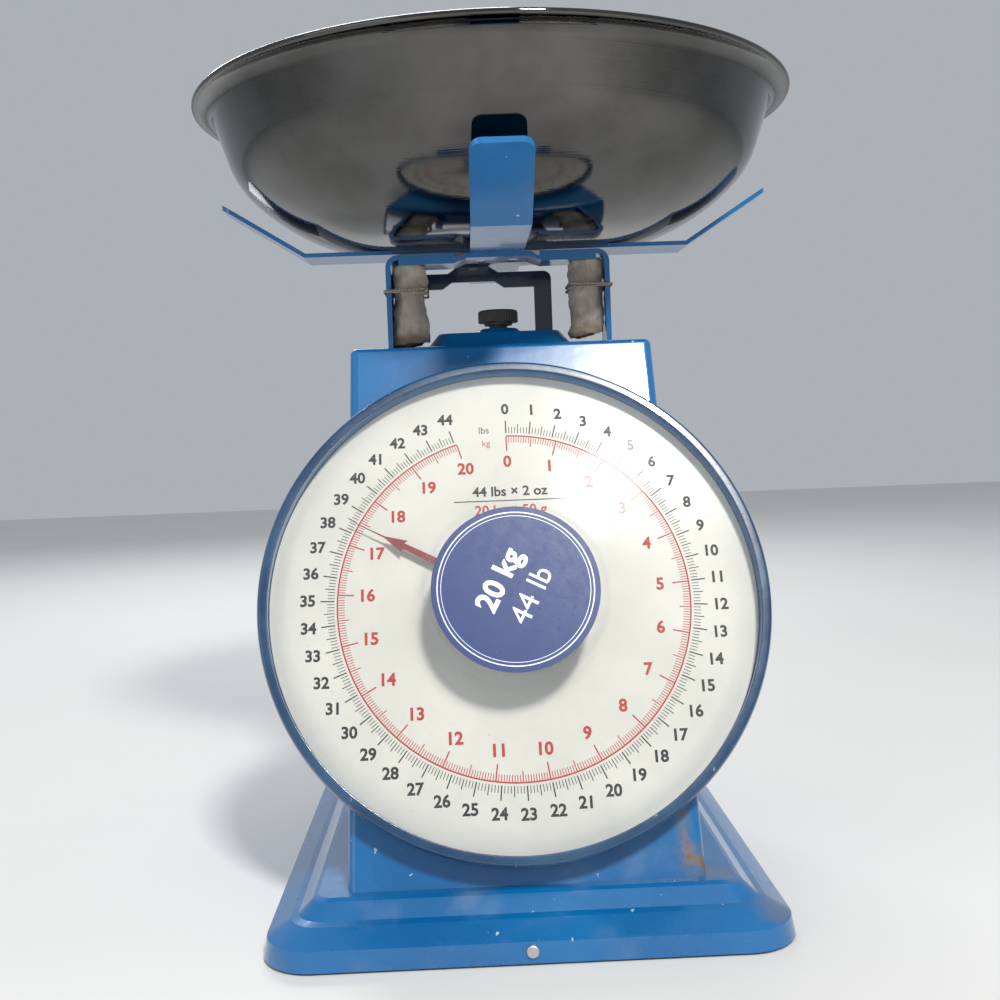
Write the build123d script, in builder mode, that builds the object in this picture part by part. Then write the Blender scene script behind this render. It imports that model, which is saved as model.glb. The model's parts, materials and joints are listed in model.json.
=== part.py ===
from build123d import *
import os
from math import asin, cos, degrees, pi, radians, sin, tan

# Mechanical dial platform scale, 20 kg by 50 g and 44 lb by 2 oz.
# Millimetres. The origin is on the ground under the load axis, +Z is up and the dial looks along -Y.

os.makedirs("parts", exist_ok=True)

# ---- driving dimensions -------------------------------------------------------------------------
# Load frame
FRAME_WIDTH = 107.6          # over the two front posts
STRIP_WIDTH = 20.0           # front posts, front to back
STRIP = 2.4                  # thickness of every frame strip
FRONT_POST_Y = -14.0
POST_BEND = 6.0
POST_GAP = 41.0              # between the two posts' top flanges
REAR_FRAME_Y = 24.0
REAR_FRAME_WIDTH = 81.0
REAR_FRAME_X = -11.5
REAR_LEG = 9.0
FRAME_RISE = 44.4            # frame top over the housing top
YOKE_DROP = 164.0            # yoke below the housing top
# Housing
HOUSING_TOP_Z = 250.0
HOUSING_TOP_WIDTH = 144.0
HOUSING_FOOT_WIDTH = 148.0
HOUSING_REAR_Y = 74.0
HOUSING_WALL = 1.0
TOP_MARGIN = 4.6             # from the front posts to the housing's top front edge
HUMP_SIZE = (72.0, 60.0)
HUMP_HEIGHT = 7.0
BOSS_RADIUS = 12.0
BOSS_HEIGHT = 2.4
# Base pan
BASE_HEIGHT = 22.0
BASE_SHEET = 1.2
BASE_CORNER = 22.0
SKIRT_HEIGHT = 9.0
FRONT_LEDGE = 26.0
REAR_LEDGE = 24.0
SIDE_LEDGE = 34.0
FOOT_STANDOFF = 1.0
FOOT_RADIUS = 9.0
# Dial
DIAL_TILT = 21.0
DIAL_CENTRE_Z = 137.0
RING_RADIUS = 111.0
RING_BAND = 4.7
DIAL_STANDOFF = 15.0         # ring's plane in front of the housing
DIAL_FACE = -8.4             # dial face, from the ring's plane
LENS_WALL = 1.5
LENS_BOSS_RADIUS = 38.0
LENS_BOSS_TOP = 16.2
LABEL_RADIUS = 35.5
# Movement
MODULE = 0.5
PINION_TEETH = 12
READING_FULL_TURN = 21.0     # kilograms in one turn of the pointer
CAPACITY = 20.0              # kilograms
PACKED_READING = -3.6        # kilograms shown while the packing holds the frame up
SHAFT_RADIUS = 1.5
POINTER_TIP = 80.5
SPRING_SPACING = 58.0
SPRING_RADIUS = 7.7
SPRING_WIRE = 1.3
SPRING_TURNS = 20
ROD_RADIUS = 3.0
STAY_LENGTH = 80.0
# Pan and cross
CROSS_WIDTH = 26.0
CROSS_STRIP = 2.0
CROSS_FLAT = 93.7
CROSS_TIP_RUN = 39.6
CROSS_TIP_RISE = 25.0
BOWL_WALL = 0.8
BOWL_RIM_RADIUS = 144.5
BOWL_FLAT = 52.0
# Clearances
GAP = 0.3                    # between pieces that only pass each other
FIT = 0.08                   # radial, for a pin that turns in its hole
SLOT_GAP = 0.5               # round a strip that passes through a slot

# ---- worked out from them -----------------------------------------------------------------------
TILT = radians(DIAL_TILT)
FRAME_TOP_Z = HOUSING_TOP_Z + FRAME_RISE
YOKE_Z = HOUSING_TOP_Z - YOKE_DROP
POST_X = FRAME_WIDTH / 2
HOUSING_TOP_FRONT_Y = FRONT_POST_Y - STRIP_WIDTH / 2 - TOP_MARGIN
DIAL_CENTRE_Y = (HOUSING_TOP_FRONT_Y - (HOUSING_TOP_Z - DIAL_CENTRE_Z) * tan(TILT)
                 - DIAL_STANDOFF / cos(TILT))
HOUSING_FOOT_FRONT_Y = HOUSING_TOP_FRONT_Y - (HOUSING_TOP_Z - BASE_HEIGHT) * tan(TILT)
BASE_WIDTH = HOUSING_FOOT_WIDTH + 2 * SIDE_LEDGE
BASE_FRONT_Y = HOUSING_FOOT_FRONT_Y - FRONT_LEDGE
BASE_REAR_Y = HOUSING_REAR_Y + REAR_LEDGE
PITCH_RADIUS = MODULE * PINION_TEETH / 2
TURN_TRAVEL = 2 * pi * PITCH_RADIUS / cos(TILT)
TRAVEL = TURN_TRAVEL * (CAPACITY - PACKED_READING) / READING_FULL_TURN
REST_ANGLE = 360 * (READING_FULL_TURN + PACKED_READING) / READING_FULL_TURN
UPPER_ROD_Z = HOUSING_TOP_Z - 26
LOWER_ROD_Z = YOKE_Z + 18
HUMP_TOP_Z = HOUSING_TOP_Z + HUMP_HEIGHT
BOSS_TOP_Z = HUMP_TOP_Z + BOSS_HEIGHT
HUMP_Y = 10.0

dial_plane = Plane(origin=(0, DIAL_CENTRE_Y, DIAL_CENTRE_Z), x_dir=(1, 0, 0),
                   z_dir=(0, -cos(TILT), sin(TILT)))


def finish(piece, name):
    """Label a finished piece and write its STEP file."""
    piece.part.label = name
    export_step(piece.part, f"parts/{name}.step")


def screw_form(radius, head_radius, head, length):
    """A screw standing on Plane.XY: domed head upwards, shank downwards."""
    with BuildPart() as form:
        Cylinder(head_radius, head, align=(Align.CENTER, Align.CENTER, Align.MIN))
        fillet(form.edges().group_by(Axis.Z)[-1], head * 0.6)
        Cylinder(radius, length, align=(Align.CENTER, Align.CENTER, Align.MAX))
    return form.part


# ---- base ---------------------------------------------------------------------------------------
def pan_form(inset):
    """The pressed pan as a solid, drawn in and down by inset."""
    steps = [(0, FOOT_STANDOFF, BASE_CORNER), (SKIRT_LEAN, SKIRT_HEIGHT, BASE_CORNER - SKIRT_LEAN),
             (11, 14.5, BASE_CORNER - 9), (14, 15.5, BASE_CORNER - 11),
             (20, 21, BASE_CORNER - 15), (22, BASE_HEIGHT, BASE_CORNER - 16)]
    depth = BASE_REAR_Y - BASE_FRONT_Y
    middle = (BASE_REAR_Y + BASE_FRONT_Y) / 2
    with BuildPart() as form:
        for number, (step_in, z, corner) in enumerate(steps):
            drop = inset if number else 0
            with BuildSketch(Plane.XY.offset(z - drop)):
                with Locations((0, middle)):
                    side = 2 * (step_in + inset)
                    RectangleRounded(BASE_WIDTH - side, depth - side, corner)
        loft(ruled=True)
    return form.part


PLATEAU_UNDER_Z = BASE_HEIGHT - BASE_SHEET
SCREW_X = HOUSING_FOOT_WIDTH / 2 - 7
SCREW_Y = 45.0
SCREW_RADIUS = 2.0
FRONT_SCREW = 1.6
FRONT_SCREW_Z = 5.6
SKIRT_LEAN = 1.5
POST_FOOT_X = 60.0
STAY_POST_Y = FRONT_POST_Y + STAY_LENGTH
skirt_run = SKIRT_HEIGHT - FOOT_STANDOFF
skirt_y = BASE_FRONT_Y + SKIRT_LEAN * (FRONT_SCREW_Z - FOOT_STANDOFF) / skirt_run
skirt_plane = Plane(origin=(0, skirt_y, FRONT_SCREW_Z), x_dir=(1, 0, 0),
                    z_dir=(0, -skirt_run, SKIRT_LEAN))

with BuildPart() as base_pan:
    add(pan_form(0))
    add(pan_form(BASE_SHEET), mode=Mode.SUBTRACT)
    with Locations((0, 0, BASE_HEIGHT)):
        with GridLocations(2 * SCREW_X, 2 * SCREW_Y, 2, 2):
            Hole(SCREW_RADIUS + FIT, depth=2 * BASE_SHEET)
    with Locations((0, STAY_POST_Y, BASE_HEIGHT)):
        with GridLocations(2 * POST_FOOT_X, 1, 2, 1):
            Hole(SCREW_RADIUS + FIT, depth=2 * BASE_SHEET)
    with Locations(skirt_plane):
        Hole(FRONT_SCREW + 0.02, depth=3 * BASE_SHEET)
finish(base_pan, "base_pan")

FOOT_TOP_Z = PLATEAU_UNDER_Z
for side, side_name in ((-1, "left"), (1, "right")):
    for foot_y, end_name in ((BASE_FRONT_Y + 36, "front"), (BASE_REAR_Y - 36, "rear")):
        with BuildPart() as foot:
            with BuildSketch(Plane.XY):
                with Locations((side * (BASE_WIDTH / 2 - 34), foot_y)):
                    Circle(FOOT_RADIUS)
            extrude(amount=FOOT_TOP_Z)
            fillet(foot.edges().group_by(Axis.Z)[0], 1.0)
        finish(foot, f"foot_{end_name}_{side_name}")

with BuildPart() as front_screw:
    with Locations(skirt_plane):
        add(screw_form(FRONT_SCREW, 2.6, 1.6, 2 * BASE_SHEET))
finish(front_screw, "front_screw")


# ---- housing ------------------------------------------------------------------------------------
def housing_form(inset):
    """The housing as a solid with its raised hump and boss, every wall drawn in by inset."""
    foot_front = HOUSING_FOOT_FRONT_Y + inset / cos(TILT)
    top_front = HOUSING_TOP_FRONT_Y + inset / cos(TILT) - inset * tan(TILT)
    rear = HOUSING_REAR_Y - inset
    with BuildPart() as form:
        with BuildSketch(Plane.XY.offset(BASE_HEIGHT)):
            with Locations((0, (foot_front + rear) / 2)):
                RectangleRounded(HOUSING_FOOT_WIDTH - 2 * inset, rear - foot_front, 4 - inset)
        with BuildSketch(Plane.XY.offset(HOUSING_TOP_Z - inset)):
            with Locations((0, (top_front + rear) / 2)):
                RectangleRounded(HOUSING_TOP_WIDTH - 2 * inset, rear - top_front, 4 - inset)
        loft(ruled=True)
        fillet(form.edges().group_by(Axis.Z)[-1], 3 - inset)
        with BuildSketch(Plane.XY.offset(HUMP_TOP_Z - inset)):
            with Locations((0, HUMP_Y)):
                RectangleRounded(HUMP_SIZE[0] - 12 - 2 * inset, HUMP_SIZE[1] - 10 - 2 * inset, 8)
        with BuildSketch(Plane.XY.offset(HOUSING_TOP_Z - inset - 0.5)):
            with Locations((0, HUMP_Y)):
                RectangleRounded(HUMP_SIZE[0] - 2 * inset, HUMP_SIZE[1] - 2 * inset, 10)
        loft()
        with BuildSketch(Plane.XY.offset(HUMP_TOP_Z - inset)):
            Circle(BOSS_RADIUS - inset)
        extrude(amount=BOSS_HEIGHT, taper=45)
    return form.part


SHAFT_HOLE = 12.0
REAR_WINDOW = (84.0, 130.0)
REAR_WINDOW_Z = HOUSING_TOP_Z - 125
COVER_LAP = 9.0
COVER_SCREW = 1.7
COVER_GRID = (REAR_WINDOW[0] + COVER_LAP, REAR_WINDOW[1] + COVER_LAP, 2, 2)
rear_plane = Plane(origin=(0, HOUSING_REAR_Y, REAR_WINDOW_Z), x_dir=(-1, 0, 0), z_dir=(0, 1, 0))
front_wall = dial_plane.offset(-DIAL_STANDOFF)
LEG_SLOT = (STRIP + 2 * SLOT_GAP, STRIP_WIDTH + 2 * SLOT_GAP)
REAR_SLOT = (REAR_LEG + 2 * SLOT_GAP, STRIP + 2 * SLOT_GAP)
REAR_LEG_SPACING = REAR_FRAME_WIDTH - REAR_LEG
KNOB_HOLE = 3.2
FLANGE = 12.0
BRACKET_SCREWS = (50.0, 18.0)
BRACKET_SCREW = 1.5

with BuildPart() as housing_shell:
    add(housing_form(0))
    add(housing_form(HOUSING_WALL), mode=Mode.SUBTRACT)
    for side in (-1, 1):
        with BuildSketch(Plane.XY.offset(BASE_HEIGHT)):
            with Locations((side * (HOUSING_FOOT_WIDTH / 2 - HOUSING_WALL / 2 - FLANGE / 2), 0)):
                Rectangle(FLANGE, 2 * SCREW_Y + 20)
        extrude(amount=BASE_SHEET)
    with Locations((0, 0, BASE_HEIGHT + BASE_SHEET)):
        with GridLocations(2 * SCREW_X, 2 * SCREW_Y, 2, 2):
            Hole(SCREW_RADIUS + FIT, depth=2 * BASE_SHEET)
    with BuildSketch(front_wall.offset(1)):
        Circle(SHAFT_HOLE)
        with GridLocations(*BRACKET_SCREWS, 2, 2):
            Circle(BRACKET_SCREW + FIT)
    extrude(amount=-4, mode=Mode.SUBTRACT)
    with BuildSketch(rear_plane.offset(1)):
        RectangleRounded(*REAR_WINDOW, 5)
        with GridLocations(*COVER_GRID):
            Circle(COVER_SCREW + FIT)
    extrude(amount=-4, mode=Mode.SUBTRACT)
    with BuildSketch(Plane.XY.offset(HOUSING_TOP_Z + HUMP_HEIGHT + BOSS_HEIGHT + 1)):
        Circle(KNOB_HOLE)
        with Locations((0, FRONT_POST_Y)):
            with GridLocations(2 * POST_X - STRIP, 1, 2, 1):
                Rectangle(*LEG_SLOT)
        with Locations((REAR_FRAME_X, REAR_FRAME_Y)):
            with GridLocations(REAR_LEG_SPACING, 1, 2, 1):
                Rectangle(*REAR_SLOT)
    extrude(amount=-(HUMP_HEIGHT + BOSS_HEIGHT + 8), mode=Mode.SUBTRACT)
finish(housing_shell, "housing_shell")


NUT_HEIGHT = 3.2
with BuildPart() as housing_screws:
    with Locations((0, 0, PLATEAU_UNDER_Z)):
        with GridLocations(2 * SCREW_X, 2 * SCREW_Y, 2, 2):
            add(screw_form(SCREW_RADIUS, 3.8, 2.4, 2 * BASE_SHEET + NUT_HEIGHT), rotation=(180, 0, 0))
    with BuildSketch(Plane.XY.offset(BASE_HEIGHT + BASE_SHEET)):
        with GridLocations(2 * SCREW_X, 2 * SCREW_Y, 2, 2):
            RegularPolygon(3.8, 6)
    extrude(amount=NUT_HEIGHT)
finish(housing_screws, "housing_screws")

with BuildPart() as rear_cover:
    with BuildSketch(rear_plane):
        RectangleRounded(REAR_WINDOW[0] + 4 * COVER_LAP, REAR_WINDOW[1] + 4 * COVER_LAP, 9)
    extrude(amount=HOUSING_WALL)
    with BuildSketch(rear_plane.offset(HOUSING_WALL)):
        RectangleRounded(REAR_WINDOW[0] - 16, REAR_WINDOW[1] - 16, 8)
    extrude(amount=1.6, taper=30)
    with BuildSketch(rear_plane):
        RectangleRounded(REAR_WINDOW[0] - 18, REAR_WINDOW[1] - 18, 7)
    extrude(amount=1.6, taper=30, mode=Mode.SUBTRACT)
    with BuildSketch(rear_plane.offset(HOUSING_WALL)):
        with GridLocations(*COVER_GRID):
            Circle(COVER_SCREW + FIT)
    extrude(amount=-2 * HOUSING_WALL, mode=Mode.SUBTRACT)
finish(rear_cover, "rear_cover")

with BuildPart() as cover_screws:
    with Locations(rear_plane.offset(HOUSING_WALL)):
        with GridLocations(*COVER_GRID):
            add(screw_form(COVER_SCREW, 3.2, 1.8, 5))
finish(cover_screws, "cover_screws")


# ---- dial ---------------------------------------------------------------------------------------
CASE_RADIUS = RING_RADIUS - 3
CASE_SHEET = 1.0
CASE_WELL = 70.0
DIAL_SHEET = 0.8
SHELF = DIAL_FACE - DIAL_SHEET
CASE_RIM = -2.0
CASE_SCREWS = (84.0, 84.0)
LENS_FLANGE = CASE_RADIUS - GAP


def dial_profile(points):
    """A closed profile given as (radius, distance along the dial's normal) pairs."""
    turned = Plane(origin=dial_plane.origin, x_dir=(1, 0, 0), z_dir=-dial_plane.y_dir)
    with BuildSketch(turned) as profile:
        with BuildLine():
            Polyline(*points, close=True)
        make_face()
    return profile.sketch


dial_axis = Axis(dial_plane.origin, dial_plane.z_dir)
back = -DIAL_STANDOFF

with BuildPart() as dial_case:
    revolve(dial_profile([(SHAFT_HOLE, back), (CASE_WELL, back),
                          (CASE_WELL + 5, SHELF - CASE_SHEET), (CASE_RADIUS, SHELF - CASE_SHEET),
                          (CASE_RADIUS, CASE_RIM), (CASE_RADIUS - CASE_SHEET, CASE_RIM),
                          (CASE_RADIUS - CASE_SHEET, SHELF), (CASE_WELL + 4.5, SHELF),
                          (CASE_WELL - 0.5, back + CASE_SHEET), (SHAFT_HOLE, back + CASE_SHEET)]),
            axis=dial_axis)
    with BuildSketch(dial_plane.offset(back + CASE_SHEET)):
        with GridLocations(*CASE_SCREWS, 2, 2):
            Circle(COVER_SCREW + FIT)
        with GridLocations(*BRACKET_SCREWS, 2, 2):
            Circle(BRACKET_SCREW + FIT)
    extrude(amount=-2 * CASE_SHEET, mode=Mode.SUBTRACT)
finish(dial_case, "dial_case")

with BuildPart() as case_screws:
    with Locations(dial_plane.offset(back + CASE_SHEET)):
        with GridLocations(*CASE_SCREWS, 2, 2):
            add(screw_form(COVER_SCREW, 3.2, 1.6, CASE_SHEET))
finish(case_screws, "case_screws")

with BuildPart() as dial_plate:
    with BuildSketch(dial_plane.offset(SHELF)):
        Circle(CASE_RADIUS - CASE_SHEET - GAP)
        Circle(4.0, mode=Mode.SUBTRACT)
    extrude(amount=DIAL_SHEET)
finish(dial_plate, "dial_plate")

LENS_SHOULDER = 5.0
lens_inner = RING_RADIUS - RING_BAND
with BuildPart() as lens:
    revolve(dial_profile([(0, LENS_BOSS_TOP), (LENS_BOSS_RADIUS - 1, LENS_BOSS_TOP),
                          (LENS_BOSS_RADIUS, LENS_BOSS_TOP - 1),
                          (LENS_BOSS_RADIUS + 3, LENS_SHOULDER + 2.5),
                          (lens_inner - 9, LENS_SHOULDER + 1), (lens_inner - 6, LENS_SHOULDER - 1),
                          (lens_inner - 1, CASE_RIM + LENS_WALL), (LENS_FLANGE, CASE_RIM + LENS_WALL),
                          (LENS_FLANGE, CASE_RIM), (lens_inner - 2.2, CASE_RIM),
                          (lens_inner - 7.2, LENS_SHOULDER - LENS_WALL - 1),
                          (lens_inner - 9.4, LENS_SHOULDER + 1 - LENS_WALL),
                          (LENS_BOSS_RADIUS + 1.6, LENS_SHOULDER + 2.5 - LENS_WALL),
                          (LENS_BOSS_RADIUS - LENS_WALL, LENS_BOSS_TOP - LENS_WALL),
                          (0, LENS_BOSS_TOP - LENS_WALL)]),
            axis=dial_axis)
finish(lens, "lens")

with BuildPart() as lens_label:
    with BuildSketch(dial_plane.offset(LENS_BOSS_TOP)):
        Circle(LABEL_RADIUS)
    extrude(amount=0.3)
finish(lens_label, "lens_label")

RING_SHEET = 1.2
RING_FRONT = CASE_RIM + LENS_WALL + RING_SHEET
RING_BACK = SHELF - CASE_SHEET - 1.0
with BuildPart() as bezel_ring:
    revolve(dial_profile([(lens_inner, RING_FRONT - RING_SHEET), (lens_inner, RING_FRONT),
                          (RING_RADIUS - 2.2, RING_FRONT), (RING_RADIUS - 0.6, RING_FRONT - 0.8),
                          (RING_RADIUS, RING_FRONT - 2.4), (RING_RADIUS, RING_BACK),
                          (RING_RADIUS - RING_SHEET, RING_BACK),
                          (RING_RADIUS - RING_SHEET, RING_FRONT - RING_SHEET)]),
            axis=dial_axis)
finish(bezel_ring, "bezel_ring")


# ---- pointer and pinion -------------------------------------------------------------------------
BRACKET_SHEET = 1.5
BRACKET_FRONT = back - HOUSING_WALL
RACK_FRONT = -37.0
RACK_THICKNESS = 3.0
SLIDE_BACK = TRAVEL * sin(TILT)
PINION_FRONT = RACK_FRONT + 1.0
PINION_BACK = RACK_FRONT - RACK_THICKNESS - SLIDE_BACK - 1.0
HANGER_SHEET = 2.0
BRACKET_BACK = PINION_BACK - HANGER_SHEET - 2.0
BUSH_RADIUS = 3.5
BUSH_FLANGE = 6.0
PRESSURE_ANGLE = radians(20)
RACK_ADDENDUM = 0.7 * MODULE
BACKLASH = 0.05


def involute_point(angle, tooth_angle, side):
    """A point on the flank whose base circle meets the tooth's centre line at tooth_angle."""
    base = PITCH_RADIUS * cos(PRESSURE_ANGLE)
    radius = base * (1 + angle ** 2) ** 0.5
    turned = tooth_angle - side * (half_base_angle - (angle - asin(angle / (1 + angle ** 2) ** 0.5)))
    return radius * sin(turned), radius * cos(turned)


roll = tan(PRESSURE_ANGLE)
half_base_angle = (pi / 2 / PINION_TEETH - BACKLASH / 2 / PITCH_RADIUS) + roll - PRESSURE_ANGLE
tip_ratio = (PITCH_RADIUS + MODULE) / (PITCH_RADIUS * cos(PRESSURE_ANGLE))
tip_roll = (tip_ratio ** 2 - 1) ** 0.5
root_radius = PITCH_RADIUS - 1.25 * MODULE


def pinion_outline():
    """The pinion's teeth as points, the first tooth centred on +X."""
    points = []
    for tooth in range(PINION_TEETH):
        middle = pi / 2 + 2 * pi * tooth / PINION_TEETH
        points.append((root_radius * sin(middle - half_base_angle),
                       root_radius * cos(middle - half_base_angle)))
        for side, rolls in ((1, (0, 0.5, 1)), (-1, (1, 0.5, 0))):
            points += [involute_point(share * tip_roll, middle, side) for share in rolls]
        points.append((root_radius * sin(middle + half_base_angle),
                       root_radius * cos(middle + half_base_angle)))
    return points


with BuildPart() as pinion_shaft:
    with BuildSketch(dial_plane.offset(PINION_BACK)):
        with BuildLine():
            Polyline(*pinion_outline(), close=True)
        make_face()
    extrude(amount=PINION_FRONT - PINION_BACK)
    with BuildSketch(dial_plane.offset(BRACKET_BACK - BRACKET_SHEET - 2)):
        Circle(SHAFT_RADIUS)
    extrude(amount=-BRACKET_BACK + BRACKET_SHEET + 2 - 1.0)
finish(pinion_shaft, "pinion_shaft")

bush_faces = (("front_bush", BRACKET_FRONT, 1), ("rear_bush", BRACKET_BACK - BRACKET_SHEET, -1))
for bush_name, face, out in bush_faces:
    with BuildPart() as bush:
        with BuildSketch(dial_plane.offset(face)):
            Circle(BUSH_FLANGE)
        extrude(amount=out * 1.2)
        with BuildSketch(dial_plane.offset(face)):
            Circle(BUSH_RADIUS)
        extrude(amount=-out * (BRACKET_SHEET + 1.0))
        with BuildSketch(dial_plane.offset(face + out * 2)):
            Circle(SHAFT_RADIUS + FIT)
        extrude(amount=-out * 8, mode=Mode.SUBTRACT)
    finish(bush, bush_name)

BRACKET_HALF = 16.0
BRACKET_HEIGHT = 28.0
with BuildPart() as movement_bracket:
    with BuildSketch(dial_plane.offset(BRACKET_FRONT)):
        RectangleRounded(BRACKET_SCREWS[0] + 14, BRACKET_HEIGHT, 4)
    extrude(amount=-BRACKET_SHEET)
    with BuildSketch(dial_plane.offset(BRACKET_FRONT)):
        with GridLocations(2 * BRACKET_HALF, 1, 2, 1):
            Rectangle(BRACKET_SHEET, BRACKET_HEIGHT - 4)
    extrude(amount=BRACKET_BACK - BRACKET_SHEET - BRACKET_FRONT)
    with BuildSketch(dial_plane.offset(BRACKET_BACK)):
        Rectangle(2 * BRACKET_HALF, BRACKET_HEIGHT - 4)
    extrude(amount=-BRACKET_SHEET)
    with BuildSketch(dial_plane):
        Circle(BUSH_RADIUS + 0.02)
    extrude(amount=2 * BRACKET_BACK, mode=Mode.SUBTRACT)
    with BuildSketch(dial_plane.offset(BRACKET_FRONT)):
        with GridLocations(*BRACKET_SCREWS, 2, 2):
            Circle(BRACKET_SCREW + FIT)
    extrude(amount=-2 * BRACKET_SHEET, mode=Mode.SUBTRACT)
finish(movement_bracket, "movement_bracket")

with BuildPart() as bracket_screws:
    with Locations(dial_plane.offset(back + CASE_SHEET)):
        with GridLocations(*BRACKET_SCREWS, 2, 2):
            add(screw_form(BRACKET_SCREW, 2.8, 1.5, CASE_SHEET + HOUSING_WALL + BRACKET_SHEET + 1.5))
finish(bracket_screws, "bracket_screws")

POINTER_SHEET = 0.6
POINTER_LEVEL = DIAL_FACE + 4.0
HUB_RADIUS = 5.0
with BuildPart() as pointer_hub:
    with BuildSketch(dial_plane.offset(POINTER_LEVEL)):
        Circle(HUB_RADIUS)
    extrude(amount=-3)
    with BuildSketch(dial_plane.offset(POINTER_LEVEL + POINTER_SHEET)):
        Circle(HUB_RADIUS)
    extrude(amount=1.2)
    with BuildSketch(dial_plane.offset(POINTER_LEVEL)):
        Circle(HUB_RADIUS - 2)
    extrude(amount=POINTER_SHEET)
    with BuildSketch(dial_plane.offset(POINTER_LEVEL + 4)):
        Circle(SHAFT_RADIUS + 0.01)
    extrude(amount=-12, mode=Mode.SUBTRACT)
finish(pointer_hub, "pointer_hub")

HEAD_BACK = POINTER_TIP - 26
along = dial_plane.x_dir.rotate(Axis((0, 0, 0), dial_plane.z_dir), -REST_ANGLE)
pointer_plane = Plane(origin=dial_plane.origin, x_dir=along, z_dir=dial_plane.z_dir)
with BuildPart() as pointer:
    with BuildSketch(pointer_plane.offset(POINTER_LEVEL)):
        with BuildLine():
            Polyline((0, POINTER_TIP), (0.35, HEAD_BACK + 9), (2.9, HEAD_BACK - 1),
                     (1.3, HEAD_BACK), (2.1, 6), (4.5, -12), (4.5, -26), (-4.5, -26),
                     (-4.5, -12), (-2.1, 6), (-1.3, HEAD_BACK), (-2.9, HEAD_BACK - 1),
                     (-0.35, HEAD_BACK + 9), close=True)
        make_face()
        Circle(HUB_RADIUS + 2)
        Circle(HUB_RADIUS - 1.98, mode=Mode.SUBTRACT)
    extrude(amount=POINTER_SHEET)
finish(pointer, "pointer")


# ---- zero adjuster and springs ------------------------------------------------------------------
ZERO_SCREW = 2.5
ZERO_PITCH = 0.8
KNOB_RADIUS = 9.9
KNOB_BOTTOM = BOSS_TOP_Z + GAP
BLOCK_TOP = UPPER_ROD_Z + 16
BLOCK_BOTTOM = UPPER_ROD_Z - 6
EAR_X = 43.0
EAR_SHEET = 2.0
BRACKET_PLATE_TOP = HOUSING_TOP_Z - HOUSING_WALL

with BuildPart() as zero_knob:
    with BuildSketch(Plane.XY.offset(KNOB_BOTTOM)):
        Circle(4.5)
    extrude(amount=9)
    with BuildSketch(Plane.XY.offset(KNOB_BOTTOM + 1.6)):
        Circle(7.0)
    extrude(amount=2)
    with BuildSketch(Plane.XY.offset(KNOB_BOTTOM + 3)):
        Circle(KNOB_RADIUS)
    extrude(amount=6)
    fillet(zero_knob.edges().group_by(Axis.Z)[-1], 1.4)
    with BuildSketch(Plane.XY.offset(KNOB_BOTTOM + 2.9)):
        with PolarLocations(KNOB_RADIUS + 0.25, 40):
            Circle(0.6)
    extrude(amount=7, mode=Mode.SUBTRACT)
    with BuildSketch(Plane.XY.offset(KNOB_BOTTOM)):
        Circle(ZERO_SCREW)
    extrude(amount=7, mode=Mode.SUBTRACT)
finish(zero_knob, "zero_knob")

with BuildPart() as zero_screw:
    with BuildSketch(Plane.XY.offset(UPPER_ROD_Z + ROD_RADIUS + 2.5)):
        Circle(ZERO_SCREW)
    extrude(amount=KNOB_BOTTOM + 7 - UPPER_ROD_Z - ROD_RADIUS - 2.5)
    with BuildSketch(Plane.XY.offset(BRACKET_PLATE_TOP - EAR_SHEET - GAP)):
        Circle(ZERO_SCREW + 2.5)
    extrude(amount=-2.4)
finish(zero_screw, "zero_screw")

with BuildPart() as bridge_block:
    with BuildSketch(Plane.XY.offset(BLOCK_BOTTOM)):
        RectangleRounded(18, 16, 2)
    extrude(amount=BLOCK_TOP - BLOCK_BOTTOM)
    with BuildSketch(Plane.XY.offset(BLOCK_TOP)):
        Circle(ZERO_SCREW + FIT)
    extrude(amount=UPPER_ROD_Z + ROD_RADIUS + 1 - BLOCK_TOP, mode=Mode.SUBTRACT)
    with BuildSketch(Plane.YZ.offset(-12)):
        with Locations((0, UPPER_ROD_Z)):
            Circle(ROD_RADIUS + 0.02)
    extrude(amount=24, mode=Mode.SUBTRACT)
finish(bridge_block, "bridge_block")

ROD_LENGTH = 2 * EAR_X + 2 * EAR_SHEET + 2
for rod_name, rod_z in (("upper_spring_rod", UPPER_ROD_Z), ("lower_spring_rod", LOWER_ROD_Z)):
    with BuildPart() as rod:
        with BuildSketch(Plane.YZ.offset(-ROD_LENGTH / 2)):
            with Locations((0, rod_z)):
                Circle(ROD_RADIUS)
        extrude(amount=ROD_LENGTH)
        chamfer(rod.edges(), 0.5)
    finish(rod, rod_name)

EAR_WIDTH = 16.0
ZERO_TURNS = 1.0
SLOT_RUN = 2 * ZERO_PITCH * ZERO_TURNS + 1.0
with BuildPart() as top_bracket:
    with BuildSketch(Plane.XY.offset(BRACKET_PLATE_TOP)):
        Rectangle(2 * EAR_X + EAR_SHEET, EAR_WIDTH)
        Circle(ZERO_SCREW + 0.3, mode=Mode.SUBTRACT)
    extrude(amount=-EAR_SHEET)
    with BuildSketch(Plane.YZ.offset(-EAR_X - EAR_SHEET / 2)):
        with Locations((0, (BRACKET_PLATE_TOP + UPPER_ROD_Z - 8) / 2)):
            Rectangle(EAR_WIDTH, BRACKET_PLATE_TOP - UPPER_ROD_Z + 8)
        with Locations((0, UPPER_ROD_Z)):
            SlotCenterToCenter(SLOT_RUN, 2 * ROD_RADIUS + 0.3, rotation=90, mode=Mode.SUBTRACT)
    extrude(amount=EAR_SHEET)
    mirror(about=Plane.YZ)
finish(top_bracket, "top_bracket")

HOOK_RADIUS = ROD_RADIUS + SPRING_WIRE + 0.15
COIL_BOTTOM = LOWER_ROD_Z + 18
COIL_TOP = UPPER_ROD_Z - 18
COIL_PITCH = (COIL_TOP - COIL_BOTTOM) / SPRING_TURNS


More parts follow.
